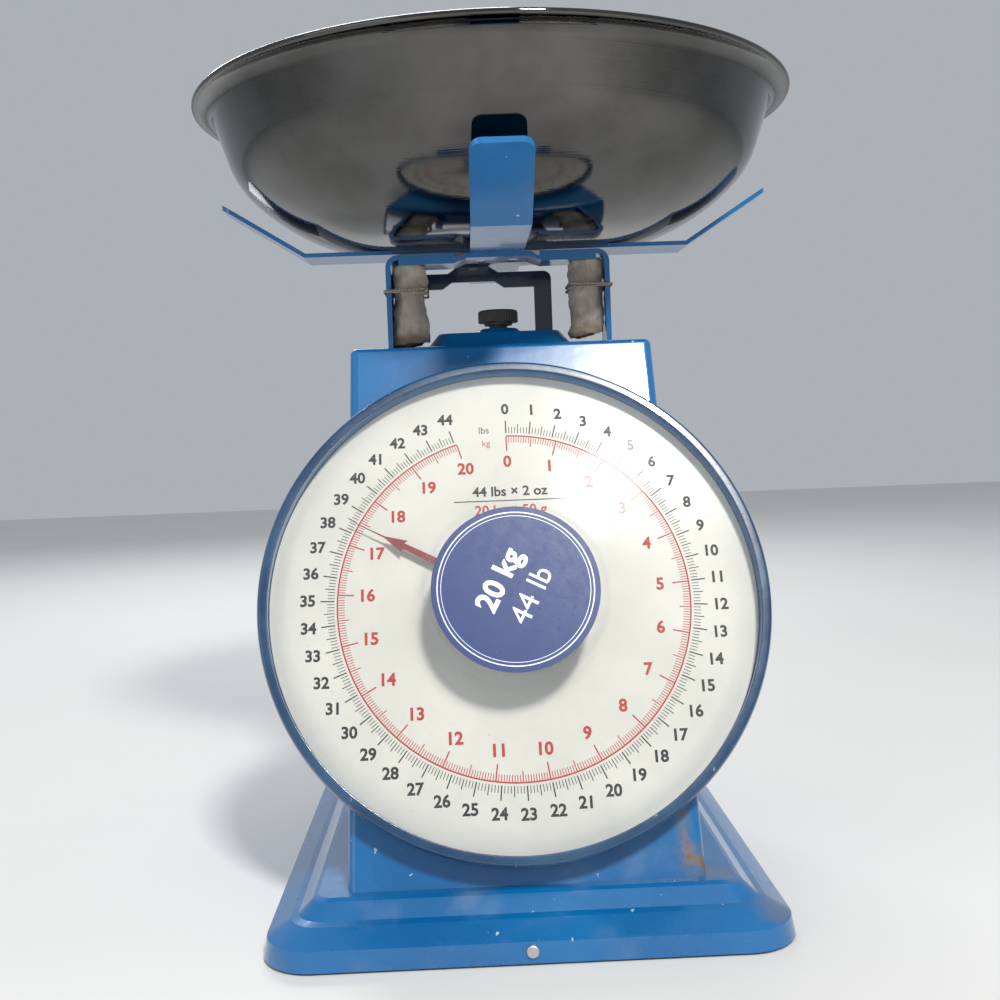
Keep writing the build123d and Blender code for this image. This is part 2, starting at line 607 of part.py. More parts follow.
def spring_form():
    """An extension spring on the Z axis with a full hook round each rod."""
    with BuildPart() as form:
        with BuildLine():
            coil = Helix(COIL_PITCH, COIL_TOP - COIL_BOTTOM, SPRING_RADIUS, center=(0, 0, COIL_BOTTOM))
        with BuildSketch(Plane(origin=coil @ 0, z_dir=coil % 0)):
            Circle(SPRING_WIRE)
        sweep(is_frenet=True)
        for rod_z, coil_end, away in ((LOWER_ROD_Z, COIL_BOTTOM, -1), (UPPER_ROD_Z, COIL_TOP, 1)):
            with Locations((0, 0, rod_z + away * -0.1)):
                Torus(HOOK_RADIUS, SPRING_WIRE, rotation=(0, 90, 0))
            hook_end = rod_z - away * HOOK_RADIUS
            with BuildSketch(Plane.XY.offset(min(hook_end, coil_end))):
                Circle(SPRING_WIRE)
            extrude(amount=abs(coil_end - hook_end))
            with BuildSketch(Plane.YZ):
                with Locations((0, coil_end)):
                    Circle(0.9 * SPRING_WIRE)
            extrude(amount=SPRING_RADIUS)
    return form.part


for side, side_name in ((-1, "left"), (1, "right")):
    with BuildPart() as spring:
        with Locations((side * SPRING_SPACING / 2, 0, 0)):
            add(spring_form())
    finish(spring, f"main_spring_{side_name}")


# ---- load frame ---------------------------------------------------------------------------------
POST_BOTTOM_Z = YOKE_Z
BRIDGE_HALF = POST_X - STRIP - 4
JOGGLE_TOP_HALF = POST_GAP / 2 - 4.5
JOGGLE_RUN = 5.0
XZ = Plane(origin=(0, 0, 0), x_dir=(1, 0, 0), z_dir=(0, -1, 0))
for side, side_name in ((-1, "left"), (1, "right")):
    middle_x = side * (POST_X - STRIP / 2)
    with BuildPart() as post:
        with BuildSketch(XZ.offset(-FRONT_POST_Y - STRIP_WIDTH / 2)):
            with BuildLine():
                Polyline((side * POST_X, POST_BOTTOM_Z), (side * POST_X, FRAME_TOP_Z),
                         (side * POST_GAP / 2, FRAME_TOP_Z), (side * POST_GAP / 2, FRAME_TOP_Z - STRIP),
                         (side * (POST_X - STRIP), FRAME_TOP_Z - STRIP),
                         (side * (POST_X - STRIP), POST_BOTTOM_Z), close=True)
            make_face()
        extrude(amount=STRIP_WIDTH)
        outer = post.edges().filter_by(Axis.Y).filter_by_position(
            Axis.Z, FRAME_TOP_Z - 0.01, FRAME_TOP_Z + 0.01).sort_by(Axis.X)
        inner = post.edges().filter_by(Axis.Y).filter_by_position(
            Axis.Z, FRAME_TOP_Z - STRIP - 0.01, FRAME_TOP_Z - STRIP + 0.01).sort_by(Axis.X)
        fillet(outer[0 if side < 0 else -1], POST_BEND)
        fillet(inner[0 if side < 0 else -1], POST_BEND - STRIP)
    finish(post, f"front_post_{side_name}")

RIVET = 2.5
with BuildPart() as rivet_holes:
    with BuildSketch(Plane.XY.offset(FRAME_TOP_Z - 3 * STRIP)):
        with Locations((0, FRONT_POST_Y)):
            with GridLocations(16, 1, 2, 1):
                Circle(RIVET + 0.02)
        with Locations((REAR_FRAME_X, REAR_FRAME_Y - 8)):
            Circle(RIVET + 0.02)
        with GridLocations(14, 14, 2, 2):
            Circle(RIVET + 0.02)
    extrude(amount=3 * STRIP + 3 * CROSS_STRIP)

with BuildPart() as frame_bridge:
    low = FRAME_TOP_Z - 2 * STRIP
    with BuildSketch(XZ.offset(-FRONT_POST_Y - STRIP_WIDTH / 2)):
        with BuildLine():
            Polyline((-BRIDGE_HALF, low), (-JOGGLE_TOP_HALF - JOGGLE_RUN, low),
                     (-JOGGLE_TOP_HALF + 1, low + STRIP), (JOGGLE_TOP_HALF - 1, low + STRIP),
                     (JOGGLE_TOP_HALF + JOGGLE_RUN, low), (BRIDGE_HALF, low),
                     (BRIDGE_HALF, low + STRIP), (JOGGLE_TOP_HALF + JOGGLE_RUN - 1, low + STRIP),
                     (JOGGLE_TOP_HALF, low + 2 * STRIP), (-JOGGLE_TOP_HALF, low + 2 * STRIP),
                     (-JOGGLE_TOP_HALF - JOGGLE_RUN + 1, low + STRIP), (-BRIDGE_HALF, low + STRIP),
                     close=True)
        make_face()
    extrude(amount=STRIP_WIDTH)
    add(rivet_holes.part, mode=Mode.SUBTRACT)
finish(frame_bridge, "frame_bridge")

REAR_BAR = 8.0
REAR_BAR_DROP = 3.4
REAR_JOGGLE = 5.0
rear_top = FRAME_TOP_Z - REAR_BAR_DROP
rear_outer = REAR_FRAME_WIDTH / 2
with BuildPart() as rear_frame:
    with BuildSketch(Plane(origin=(REAR_FRAME_X, REAR_FRAME_Y + STRIP / 2, 0), x_dir=(1, 0, 0),
                           z_dir=(0, -1, 0))):
        with BuildLine():
            Polyline((-rear_outer, YOKE_Z), (-rear_outer, rear_top),
                     (-8 - REAR_JOGGLE, rear_top), (-8, FRAME_TOP_Z), (8, FRAME_TOP_Z),
                     (8 + REAR_JOGGLE, rear_top), (rear_outer, rear_top), (rear_outer, YOKE_Z),
                     (rear_outer - REAR_LEG, YOKE_Z), (rear_outer - REAR_LEG, rear_top - REAR_BAR),
                     (11 + REAR_JOGGLE, rear_top - REAR_BAR), (11, FRAME_TOP_Z - REAR_BAR),
                     (-11, FRAME_TOP_Z - REAR_BAR), (-11 - REAR_JOGGLE, rear_top - REAR_BAR),
                     (-rear_outer + REAR_LEG, rear_top - REAR_BAR),
                     (-rear_outer + REAR_LEG, YOKE_Z), close=True)
        make_face()
    extrude(amount=STRIP)
    upright = rear_frame.edges().filter_by(Axis.Y)
    fillet(upright.filter_by_position(Axis.Z, rear_top - 0.1, rear_top + 0.1).sort_by(Axis.X)[0], 4)
    upright = rear_frame.edges().filter_by(Axis.Y)
    fillet(upright.filter_by_position(Axis.Z, rear_top - 0.1, rear_top + 0.1).sort_by(Axis.X)[-1], 4)
    with BuildSketch(Plane.XY.offset(FRAME_TOP_Z)):
        with Locations((REAR_FRAME_X, REAR_FRAME_Y - 7)):
            Rectangle(16, 14 + STRIP)
    extrude(amount=-STRIP)
    add(rivet_holes.part, mode=Mode.SUBTRACT)
finish(rear_frame, "rear_frame")


# ---- cross and its rivets -----------------------------------------------------------------------
def cross_strip(plane, base_z, turn):
    """A flat strip with both ends bent up, its underside at base_z, running turn degrees from X."""
    tip = CROSS_FLAT + CROSS_TIP_RUN
    slope = CROSS_TIP_RISE / CROSS_TIP_RUN
    rise = CROSS_STRIP * (1 + slope ** 2) ** 0.5
    with BuildPart() as form:
        with BuildSketch(plane.offset(-CROSS_WIDTH / 2)):
            with BuildLine():
                Polyline((-CROSS_FLAT, base_z), (CROSS_FLAT, base_z), (tip, base_z + CROSS_TIP_RISE),
                         (tip, base_z + CROSS_TIP_RISE + rise), (CROSS_FLAT - 0.6, base_z + CROSS_STRIP),
                         (-CROSS_FLAT + 0.6, base_z + CROSS_STRIP),
                         (-tip, base_z + CROSS_TIP_RISE + rise), (-tip, base_z + CROSS_TIP_RISE),
                         close=True)
            make_face()
        extrude(amount=CROSS_WIDTH)
        with BuildSketch(Plane.XY.offset(base_z)):
            RectangleRounded(2 * tip, CROSS_WIDTH, 5, rotation=turn)
        extrude(amount=CROSS_TIP_RISE + rise, mode=Mode.INTERSECT)
    return form.part


with BuildPart() as cross_long:
    add(cross_strip(Plane.YZ, FRAME_TOP_Z, 90))
    add(rivet_holes.part, mode=Mode.SUBTRACT)
finish(cross_long, "cross_long")

with BuildPart() as cross_lateral:
    add(cross_strip(XZ, FRAME_TOP_Z + CROSS_STRIP, 0))
    add(rivet_holes.part, mode=Mode.SUBTRACT)
finish(cross_lateral, "cross_lateral")

with BuildPart() as cross_rivets:
    with BuildSketch(Plane.XY.offset(FRAME_TOP_Z)):
        with GridLocations(14, 14, 2, 2):
            Circle(RIVET)
    extrude(amount=2 * CROSS_STRIP)
    with BuildSketch(Plane.XY.offset(FRAME_TOP_Z - STRIP)):
        with Locations((0, FRONT_POST_Y)):
            with GridLocations(16, 1, 2, 1):
                Circle(RIVET)
        with Locations((REAR_FRAME_X, REAR_FRAME_Y - 8)):
            Circle(RIVET)
    extrude(amount=STRIP + CROSS_STRIP)
finish(cross_rivets, "cross_rivets")


# ---- yoke, rack and hanger ----------------------------------------------------------------------
YOKE_TAB = 14.0
yoke_half = POST_X - STRIP
yoke_front = FRONT_POST_Y - STRIP_WIDTH / 2
yoke_rear = REAR_FRAME_Y - STRIP / 2
with BuildPart() as lower_yoke:
    with BuildSketch(Plane.XY.offset(YOKE_Z)):
        with Locations((0, (yoke_front + yoke_rear) / 2)):
            Rectangle(2 * yoke_half, yoke_rear - yoke_front)
        with GridLocations(SPRING_SPACING, 1, 2, 1):
            Circle(9, mode=Mode.SUBTRACT)
    extrude(amount=STRIP)
    with BuildSketch(Plane.XY.offset(YOKE_Z)):
        with Locations((0, FRONT_POST_Y)):
            with GridLocations(2 * yoke_half - STRIP, 1, 2, 1):
                Rectangle(STRIP, STRIP_WIDTH - 2)
        with Locations((REAR_FRAME_X, yoke_rear - STRIP / 2)):
            Rectangle(REAR_FRAME_WIDTH - 8, STRIP)
    extrude(amount=YOKE_TAB)
    with BuildSketch(Plane.YZ.offset(-EAR_X - EAR_SHEET / 2)):
        with Locations((0, (YOKE_Z + LOWER_ROD_Z + 6) / 2)):
            Rectangle(12, LOWER_ROD_Z + 6 - YOKE_Z)
        with Locations((0, LOWER_ROD_Z)):
            Circle(ROD_RADIUS + 0.02, mode=Mode.SUBTRACT)
    extrude(amount=EAR_SHEET)
    mirror(about=Plane.YZ)
finish(lower_yoke, "lower_yoke")

HANGER_Z = DIAL_CENTRE_Z + 31.0
HANGER_X = (4.0, 12.0)
HANGER_DEPTH = 12.0
RACK_BACK_X = 8.0
RACK_LOW = -7.0
RACK_TOP = 36.0
RACK_SCREWS = (30.0, 34.0)
tab_w = RACK_FRONT - RACK_THICKNESS
tab_top = (HANGER_Z + 1.2 - DIAL_CENTRE_Z - tab_w * sin(TILT)) / cos(TILT)
tab_top_y = DIAL_CENTRE_Y + tab_top * sin(TILT) - tab_w * cos(TILT)
hanger_middle = (HANGER_X[0] + HANGER_X[1]) / 2
with BuildPart() as rack_hanger:
    with BuildSketch(Plane.XY.offset(HANGER_Z)):
        with Locations((0, yoke_front + HANGER_DEPTH / 2)):
            Rectangle(2 * yoke_half, HANGER_DEPTH)
        with Locations((hanger_middle, (tab_top_y - 1 + yoke_front + HANGER_DEPTH) / 2)):
            Rectangle(HANGER_X[1] - HANGER_X[0], yoke_front + HANGER_DEPTH - tab_top_y + 1)
    extrude(amount=STRIP)
    with BuildSketch(dial_plane.offset(tab_w)):
        with Locations((hanger_middle, (RACK_SCREWS[0] - 4 + tab_top) / 2)):
            Rectangle(HANGER_X[1] - HANGER_X[0], tab_top - RACK_SCREWS[0] + 4)
    extrude(amount=-HANGER_SHEET)
    with BuildSketch(Plane.XY.offset(HANGER_Z + STRIP)):
        with Locations((0, DIAL_CENTRE_Y)):
            Rectangle(60, 400)
    extrude(amount=10, mode=Mode.SUBTRACT)
    with BuildSketch(Plane.XY.offset(HANGER_Z)):
        with Locations((0, yoke_front + HANGER_DEPTH / 2)):
            with GridLocations(2 * yoke_half - STRIP, 1, 2, 1):
                Rectangle(STRIP, HANGER_DEPTH)
    extrude(amount=10)
    with BuildSketch(dial_plane.offset(tab_w + 1)):
        for screw_y in RACK_SCREWS:
            with Locations((hanger_middle - 2, screw_y)):
                Circle(0.92)
    extrude(amount=-4, mode=Mode.SUBTRACT)
finish(rack_hanger, "rack_hanger")

rack_pitch = pi * MODULE
half_at_pitch = rack_pitch / 4 - BACKLASH / 2
half_at_tip = half_at_pitch - RACK_ADDENDUM * tan(PRESSURE_ANGLE)
RACK_DEDENDUM = 1.2 * MODULE
half_at_root = half_at_pitch + RACK_DEDENDUM * tan(PRESSURE_ANGLE)
tip_x = PITCH_RADIUS - RACK_ADDENDUM
root_x = PITCH_RADIUS + RACK_DEDENDUM


def rack_outline():
    """The rack's outline as points: a tooth space lies level with the shaft."""
    points = [(RACK_BACK_X, RACK_LOW), (root_x, RACK_LOW)]
    lowest = int((RACK_LOW + 1.5) / rack_pitch) - 1
    highest = int((TRAVEL * cos(TILT) + 5) / rack_pitch)
    for tooth in range(lowest, highest + 1):
        middle = (tooth + 0.5) * rack_pitch
        points += [(root_x, middle - half_at_root), (tip_x, middle - half_at_tip),
                   (tip_x, middle + half_at_tip), (root_x, middle + half_at_root)]
    return points + [(root_x, RACK_TOP), (RACK_BACK_X, RACK_TOP)]


with BuildPart() as rack:
    with BuildSketch(dial_plane.offset(tab_w)):
        with BuildLine():
            Polyline(*rack_outline(), close=True)
        make_face()
        for screw_y in RACK_SCREWS:
            with Locations((hanger_middle - 2, screw_y)):
                Circle(0.92, mode=Mode.SUBTRACT)
    extrude(amount=RACK_THICKNESS)
finish(rack, "rack")

with BuildPart() as rack_screws:
    for screw_y in RACK_SCREWS:
        with Locations(dial_plane.offset(RACK_FRONT)):
            with Locations((hanger_middle - 2, screw_y)):
                add(screw_form(0.9, 1.7, 1.0, RACK_THICKNESS + HANGER_SHEET + 0.5))
finish(rack_screws, "rack_screws")


# ---- parallel-motion stays ----------------------------------------------------------------------
STAY_X = 41.3
STAY_SHEET = 1.8
STAY_HALF = 5.0
STAY_PIN = 1.9
STAY_SLOT_GAP = 0.2
STAY_BOW = 0.6
UPPER_STAY_Z = HOUSING_TOP_Z - 55
LOWER_STAY_Z = HOUSING_TOP_Z - 110
stay_rise = degrees(TRAVEL / 2 / STAY_LENGTH)
for stay_name, pivot_z in (("upper_stay", UPPER_STAY_Z), ("lower_stay", LOWER_STAY_Z)):
    along = (0, -cos(radians(stay_rise)), sin(radians(stay_rise)))
    stay_plane = Plane(origin=(0, STAY_POST_Y, pivot_z), x_dir=along, z_dir=(-1, 0, 0))
    with BuildPart() as stay:
        with BuildSketch(stay_plane.offset(-STAY_X - STAY_SHEET / 2)):
            with Locations((STAY_LENGTH / 2, 0)):
                SlotCenterToCenter(STAY_LENGTH + 2, 2 * STAY_HALF)
            Circle(STAY_PIN + FIT, mode=Mode.SUBTRACT)
            with Locations((STAY_LENGTH + STAY_BOW / 2 + 0.1, 0)):
                SlotCenterToCenter(2 * STAY_BOW, 2 * (STAY_PIN + STAY_SLOT_GAP), mode=Mode.SUBTRACT)
        extrude(amount=STAY_SHEET)
        mirror(about=Plane.YZ)
        with BuildSketch(Plane.YZ.offset(-STAY_X)):
            with Locations(tuple(stay_plane.from_local_coords(Vector(16, 0, 0)))[1:]):
                Circle(3.0)
        extrude(amount=2 * STAY_X)
    finish(stay, stay_name)

PIN_END = STAY_X - STAY_SHEET / 2 - 0.6
STAND_X = yoke_half + 1.8
STAND_SHEET = 2.0
with BuildPart() as stay_pins:
    for pivot_z in (UPPER_STAY_Z, LOWER_STAY_Z):
        with BuildSketch(Plane.YZ.offset(PIN_END)):
            with Locations((STAY_POST_Y, pivot_z)):
                Circle(STAY_PIN)
        extrude(amount=STAND_X + STAND_SHEET - PIN_END)
    mirror(about=Plane.YZ)
finish(stay_pins, "stay_pins")

for side, side_name in ((-1, "left"), (1, "right")):
    with BuildPart() as stay_post:
        with BuildSketch(Plane.XY.offset(BASE_HEIGHT)):
            with Locations((side * (STAND_X + 7), STAY_POST_Y)):
                Rectangle(14, 13)
        extrude(amount=STAND_SHEET)
        with BuildSketch(Plane.XY.offset(BASE_HEIGHT)):
            with Locations((side * (STAND_X + STAND_SHEET / 2), STAY_POST_Y)):
                Rectangle(STAND_SHEET, 13)
        extrude(amount=UPPER_STAY_Z + 8 - BASE_HEIGHT)
        with BuildSketch(Plane.YZ.offset(side * (STAND_X - 1))):
            for pivot_z in (UPPER_STAY_Z, LOWER_STAY_Z):
                with Locations((STAY_POST_Y, pivot_z)):
                    Circle(STAY_PIN + 0.02)
        extrude(amount=side * 6, mode=Mode.SUBTRACT)
        with BuildSketch(Plane.XY.offset(BASE_HEIGHT)):
            with Locations((side * POST_FOOT_X, STAY_POST_Y)):
                Circle(SCREW_RADIUS + FIT)
        extrude(amount=5, mode=Mode.SUBTRACT)
    finish(stay_post, f"stay_post_{side_name}")

with BuildPart() as post_screws:
    with Locations((0, STAY_POST_Y, PLATEAU_UNDER_Z)):
        with GridLocations(2 * POST_FOOT_X, 1, 2, 1):
            add(screw_form(SCREW_RADIUS, 3.8, 2.4, BASE_SHEET + STAND_SHEET + NUT_HEIGHT),
                rotation=(180, 0, 0))
finish(post_screws, "post_screws")

with BuildPart() as frame_pins:
    for pivot_z in (UPPER_STAY_Z, LOWER_STAY_Z):
        with BuildSketch(Plane.YZ.offset(PIN_END)):
            with Locations((FRONT_POST_Y, pivot_z + TRAVEL / 2)):
                Circle(STAY_PIN)
        extrude(amount=yoke_half - PIN_END)
    mirror(about=Plane.YZ)
finish(frame_pins, "frame_pins")

with BuildPart() as travel_stop:
    with BuildSketch(Plane.XY.offset(BASE_HEIGHT)):
        Circle(8)
    extrude(amount=YOKE_Z - TRAVEL - 1 - BASE_HEIGHT)
    fillet(travel_stop.edges().group_by(Axis.Z)[-1], 2)
finish(travel_stop, "travel_stop")


# ---- weighing bowl ------------------------------------------------------------------------------
BOWL_Z = FRAME_TOP_Z + 2 * CROSS_STRIP + 0.05
BEAD = 1.7
with BuildPart() as bowl:
    with BuildSketch(Plane.XZ):
        with BuildLine():
            floor = Line((0, BOWL_Z), (BOWL_FLAT, BOWL_Z))
            side_curve = JernArc(floor @ 1, floor % 1, 95, 45)
            wall_curve = JernArc(side_curve @ 1, side_curve % 1, 40, 27)
            wall = Line(wall_curve @ 1, wall_curve @ 1 + (wall_curve % 1) * 18.8)
            flare = JernArc(wall @ 1, wall % 1, 6, -50)
            reach = (BOWL_RIM_RADIUS - BEAD - (flare @ 1).X) / (flare % 1).X
            lip = Line(flare @ 1, flare @ 1 + (flare % 1) * reach)
            offset(amount=BOWL_WALL, side=Side.LEFT)
        make_face()
    revolve(axis=Axis.Z)
    with BuildSketch(Plane.XZ):
        with Locations(((lip @ 1).X, (lip @ 1).Y)):
            Circle(BEAD)
    revolve(axis=Axis.Z)
finish(bowl, "bowl")


# ---- shipping packing ---------------------------------------------------------------------------
ROLL_RADIUS = 8.0
ROLL_X = yoke_half - GAP - ROLL_RADIUS
ROLL_TOP_Z = FRAME_TOP_Z - 2 * STRIP - GAP
STRING_Z = HOUSING_TOP_Z + TRAVEL + 4.0
STRING = 1.4
rolls = ((-1, "left", HOUSING_TOP_Z + 3), (1, "right", HOUSING_TOP_Z + 5))
for side, side_name, roll_bottom in rolls:
    with BuildPart() as roll_piece:
        with BuildSketch(Plane.XY.offset(roll_bottom)):
            with Locations((side * ROLL_X, FRONT_POST_Y)):
                Circle(ROLL_RADIUS)
        extrude(amount=ROLL_TOP_Z - roll_bottom)
    finish(roll_piece, f"packing_roll_{side_name}")
    inner_end = ROLL_X - ROLL_RADIUS - 0.1
    loop_width = POST_X + 0.1 - inner_end
    with BuildPart() as string:
        with BuildSketch(Plane.XY.offset(STRING_Z)):
            with Locations((side * (inner_end + loop_width / 2), FRONT_POST_Y)):
                RectangleRounded(loop_width + 2 * STRING, STRIP_WIDTH + 0.2 + 2 * STRING, 1.6)
                RectangleRounded(loop_width, STRIP_WIDTH + 0.2, 0.2, mode=Mode.SUBTRACT)
        extrude(amount=1.6)
    finish(string, f"packing_string_{side_name}")
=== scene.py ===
# %% [markdown]
# # A dial platform scale, finished in Blender
#
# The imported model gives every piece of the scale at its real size, in metres, standing on the ground
# with +Z up and the dial looking along -Y. This lesson keeps those pieces, gives each a finish, and
# models again the few whose roundness, print or softness the plain solids can't show: the ring, the
# lens, the bowl, the dial's print, and the paper and string that packed the scale for its journey.

# %% Load the frame
import bpy
import json
from math import cos, pi, radians, sin
from mathutils import Matrix, Vector

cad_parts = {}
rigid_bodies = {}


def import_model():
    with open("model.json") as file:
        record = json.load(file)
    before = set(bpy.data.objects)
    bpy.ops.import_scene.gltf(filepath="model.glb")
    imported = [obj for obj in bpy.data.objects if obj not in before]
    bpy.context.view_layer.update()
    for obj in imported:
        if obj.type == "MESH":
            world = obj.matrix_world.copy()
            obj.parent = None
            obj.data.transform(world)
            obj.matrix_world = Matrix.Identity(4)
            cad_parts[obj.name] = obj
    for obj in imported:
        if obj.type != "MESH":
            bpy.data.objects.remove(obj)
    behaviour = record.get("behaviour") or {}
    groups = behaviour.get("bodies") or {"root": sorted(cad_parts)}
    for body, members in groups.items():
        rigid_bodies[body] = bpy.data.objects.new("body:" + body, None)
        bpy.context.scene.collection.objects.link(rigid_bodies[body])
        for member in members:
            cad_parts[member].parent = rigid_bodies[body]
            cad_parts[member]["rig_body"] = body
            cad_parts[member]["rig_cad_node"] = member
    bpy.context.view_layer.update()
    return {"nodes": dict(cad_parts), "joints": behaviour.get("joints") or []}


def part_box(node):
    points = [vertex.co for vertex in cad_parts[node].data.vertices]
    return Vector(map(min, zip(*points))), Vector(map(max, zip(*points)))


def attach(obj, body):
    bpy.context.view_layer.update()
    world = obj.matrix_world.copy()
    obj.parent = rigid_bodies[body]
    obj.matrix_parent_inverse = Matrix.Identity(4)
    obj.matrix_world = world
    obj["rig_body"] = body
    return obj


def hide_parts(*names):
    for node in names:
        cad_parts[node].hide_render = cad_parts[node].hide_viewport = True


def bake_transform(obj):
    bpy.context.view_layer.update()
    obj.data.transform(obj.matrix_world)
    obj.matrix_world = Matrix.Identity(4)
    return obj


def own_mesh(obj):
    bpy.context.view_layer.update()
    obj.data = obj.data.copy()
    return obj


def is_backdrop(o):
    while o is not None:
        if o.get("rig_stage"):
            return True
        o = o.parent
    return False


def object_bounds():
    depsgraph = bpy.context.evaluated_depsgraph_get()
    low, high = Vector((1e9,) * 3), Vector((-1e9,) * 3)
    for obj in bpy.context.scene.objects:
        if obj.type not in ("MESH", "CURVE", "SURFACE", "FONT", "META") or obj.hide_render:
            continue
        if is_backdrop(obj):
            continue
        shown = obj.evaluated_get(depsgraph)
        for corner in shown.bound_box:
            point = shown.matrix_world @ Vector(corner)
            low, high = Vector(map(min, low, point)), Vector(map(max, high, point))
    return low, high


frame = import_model()
nodes = frame["nodes"]
MM = 0.001

# %% [markdown]
# The dial is tilted, so its pieces are easiest to make lying flat: x to the reader's right, y up the
# dial, z out of it. The pointer's own hinge says where the dial's centre is and which way it faces,
# and one matrix then carries a flat piece to its place.

# %% The dial's own frame
turning = next(joint for joint in frame["joints"] if joint["name"] == "pointer_turn")
facing = -Vector(turning["axis"]).normalized()
up_dial = facing.cross(Vector((1, 0, 0))).normalized()
dial_matrix = Matrix((Vector((1, 0, 0)), up_dial, facing)).transposed().to_4x4()
dial_matrix.translation = Vector(turning["pos_m"])


def along_dial(node):
    """Lowest and highest (x, y, z) of a node in the dial's frame."""
    inverse = dial_matrix.inverted()
    places = [inverse @ vertex.co for vertex in nodes[node].data.vertices]
    return [Vector([pick(place[axis] for place in places) for axis in range(3)]) for pick in (min, max)]


dial_face = along_dial("dial_plate")[1].z
ring_radius = along_dial("bezel_ring")[1].x
print("dial face at", round(dial_face / MM, 2), "mm, ring radius", round(ring_radius / MM, 1), "mm")

# %% [markdown]
# Every operator works on what is selected. These helpers deselect all first, add a start, and leave
# the finished piece at the origin with its place in its mesh.

# %% Helpers for pieces
def nothing_selected():
    if bpy.context.object and bpy.context.object.mode != "OBJECT":
        bpy.ops.object.mode_set(mode="OBJECT")
    bpy.ops.object.select_all(action="DESELECT")


def started(name):
    """The primitive just added, named and in edit mode."""
    piece = bpy.context.object
    piece.name = piece.data.name = name
    bpy.ops.object.mode_set(mode="EDIT")
    return piece


def settled(piece, matrix=None, smooth_below=35):
    """Leave edit mode, carry the piece by matrix, and put its place into its mesh."""
    bpy.ops.object.mode_set(mode="OBJECT")
    nothing_selected()
    piece.select_set(True)
    bpy.context.view_layer.objects.active = piece
    if matrix is not None:
        piece.matrix_world = matrix @ piece.matrix_world
    bpy.ops.object.transform_apply(location=True, rotation=True, scale=True)
    bpy.ops.object.shade_smooth_by_angle(angle=radians(smooth_below))
    return piece


def applied(piece, kind, **settings):
    """Add a modifier with these settings and apply it."""
    nothing_selected()
    piece.select_set(True)
    bpy.context.view_layer.objects.active = piece
    modifier = piece.modifiers.new(kind.lower(), kind)
    for key, value in settings.items():
        setattr(modifier, key, value)
    bpy.ops.object.modifier_apply(modifier=modifier.name)
    return piece


print("helpers ready")

# %% [markdown]
# A turned or spun part, such as a lathe makes, is a circle extruded from ring to ring. Each ring is a
# (radius, height) pair, so the list reads like the profile on a drawing. A capped piece starts from a
# filled disc and ends in one, and an open one comes round to its first ring again, as a hoop does.
# Rounded corners come from a small function rather than from many typed points.

# %% Turned pieces
def turned(name, rings, segments=160, matrix=None, capped=True, smooth_below=35):
    """A circle extruded through rings of (radius, height) in metres."""
    nothing_selected()
    (radius, height), *others = rings if capped else rings + rings[:1]
    fill = "NGON" if capped else "NOTHING"
    bpy.ops.mesh.primitive_circle_add(
        vertices=segments, radius=radius, location=(0, 0, height), fill_type=fill)
    piece = started(name)
    bpy.ops.mesh.select_all(action="SELECT")
    for new_radius, new_height in others:
        bpy.ops.mesh.extrude_region_move(
            TRANSFORM_OT_translate={"value": (0, 0, new_height - height)})
        share = new_radius / radius
        bpy.ops.transform.resize(value=(share, share, 1), center_override=(0, 0, new_height))
        radius, height = new_radius, new_height
    bpy.ops.mesh.select_all(action="SELECT")
    bpy.ops.mesh.remove_doubles(threshold=1e-6)
    bpy.ops.mesh.normals_make_consistent(inside=False)
    return settled(piece, matrix, smooth_below)


def rounded(corner, before, after, radius, steps=6):
    """A profile's corner, rounded by a quadratic curve that starts and ends radius from it."""
    corner, before, after = Vector(corner), Vector(before), Vector(after)
    first = corner + (before - corner).normalized() * radius
    last = corner + (after - corner).normalized() * radius
    shares = [step / steps for step in range(steps + 1)]
    return [tuple(first * (1 - s) ** 2 + corner * 2 * s * (1 - s) + last * s ** 2) for s in shares]


def softened(profile, radius, closed=False):
    """A profile whose corners are all rounded, by at most 0.4 of the shorter side beside each."""
    count, points = len(profile), []
    for index, corner in enumerate(profile):
        if not closed and index in (0, count - 1):
            points.append(corner)
            continue
        before, after = profile[index - 1], profile[(index + 1) % count]
        sides = (Vector(before) - Vector(corner)).length, (Vector(after) - Vector(corner)).length
        points += rounded(corner, before, after, min(radius, 0.4 * min(sides)))
    return points


print("turning helpers ready")

# %% [markdown]
# ## Finishes
# Shader maths reads best as Python. A `Signal` holds one output socket and adds a Math node for each
# operator used on it, and a `Finish` holds one material, its node tree and its shader. Every pattern
# reads Object coordinates, which are metres on the scale itself, so a pattern stays put when its
# piece moves.

# %% Signals and finishes
class Signal:
    """One output socket that can stand in an expression."""

    def __init__(self, finish, socket):
        self.finish = finish
        self.socket = socket

    def math(self, operation, *values):
        return self.finish.node("ShaderNodeMath", {"operation": operation}, *values)

    def __add__(self, other):
        return self.math("ADD", self, other)

    def __radd__(self, other):
        return self.math("ADD", other, self)

    def __sub__(self, other):
        return self.math("SUBTRACT", self, other)

    def __rsub__(self, other):
        return self.math("SUBTRACT", other, self)

    def __mul__(self, other):
        return self.math("MULTIPLY", self, other)

    def __rmul__(self, other):
        return self.math("MULTIPLY", other, self)

    def __truediv__(self, other):
        return self.math("DIVIDE", self, other)

    def root(self):
        return self.math("SQRT", self)

    def sine(self):
        return self.math("SINE", self)

    def ramped(self, low, high):
        """0 at low and under, 1 at high and over, smooth between."""
        settings = {"interpolation_type": "SMOOTHSTEP"}
        return self.finish.node("ShaderNodeMapRange", settings, self, low, high, 0.0, 1.0)


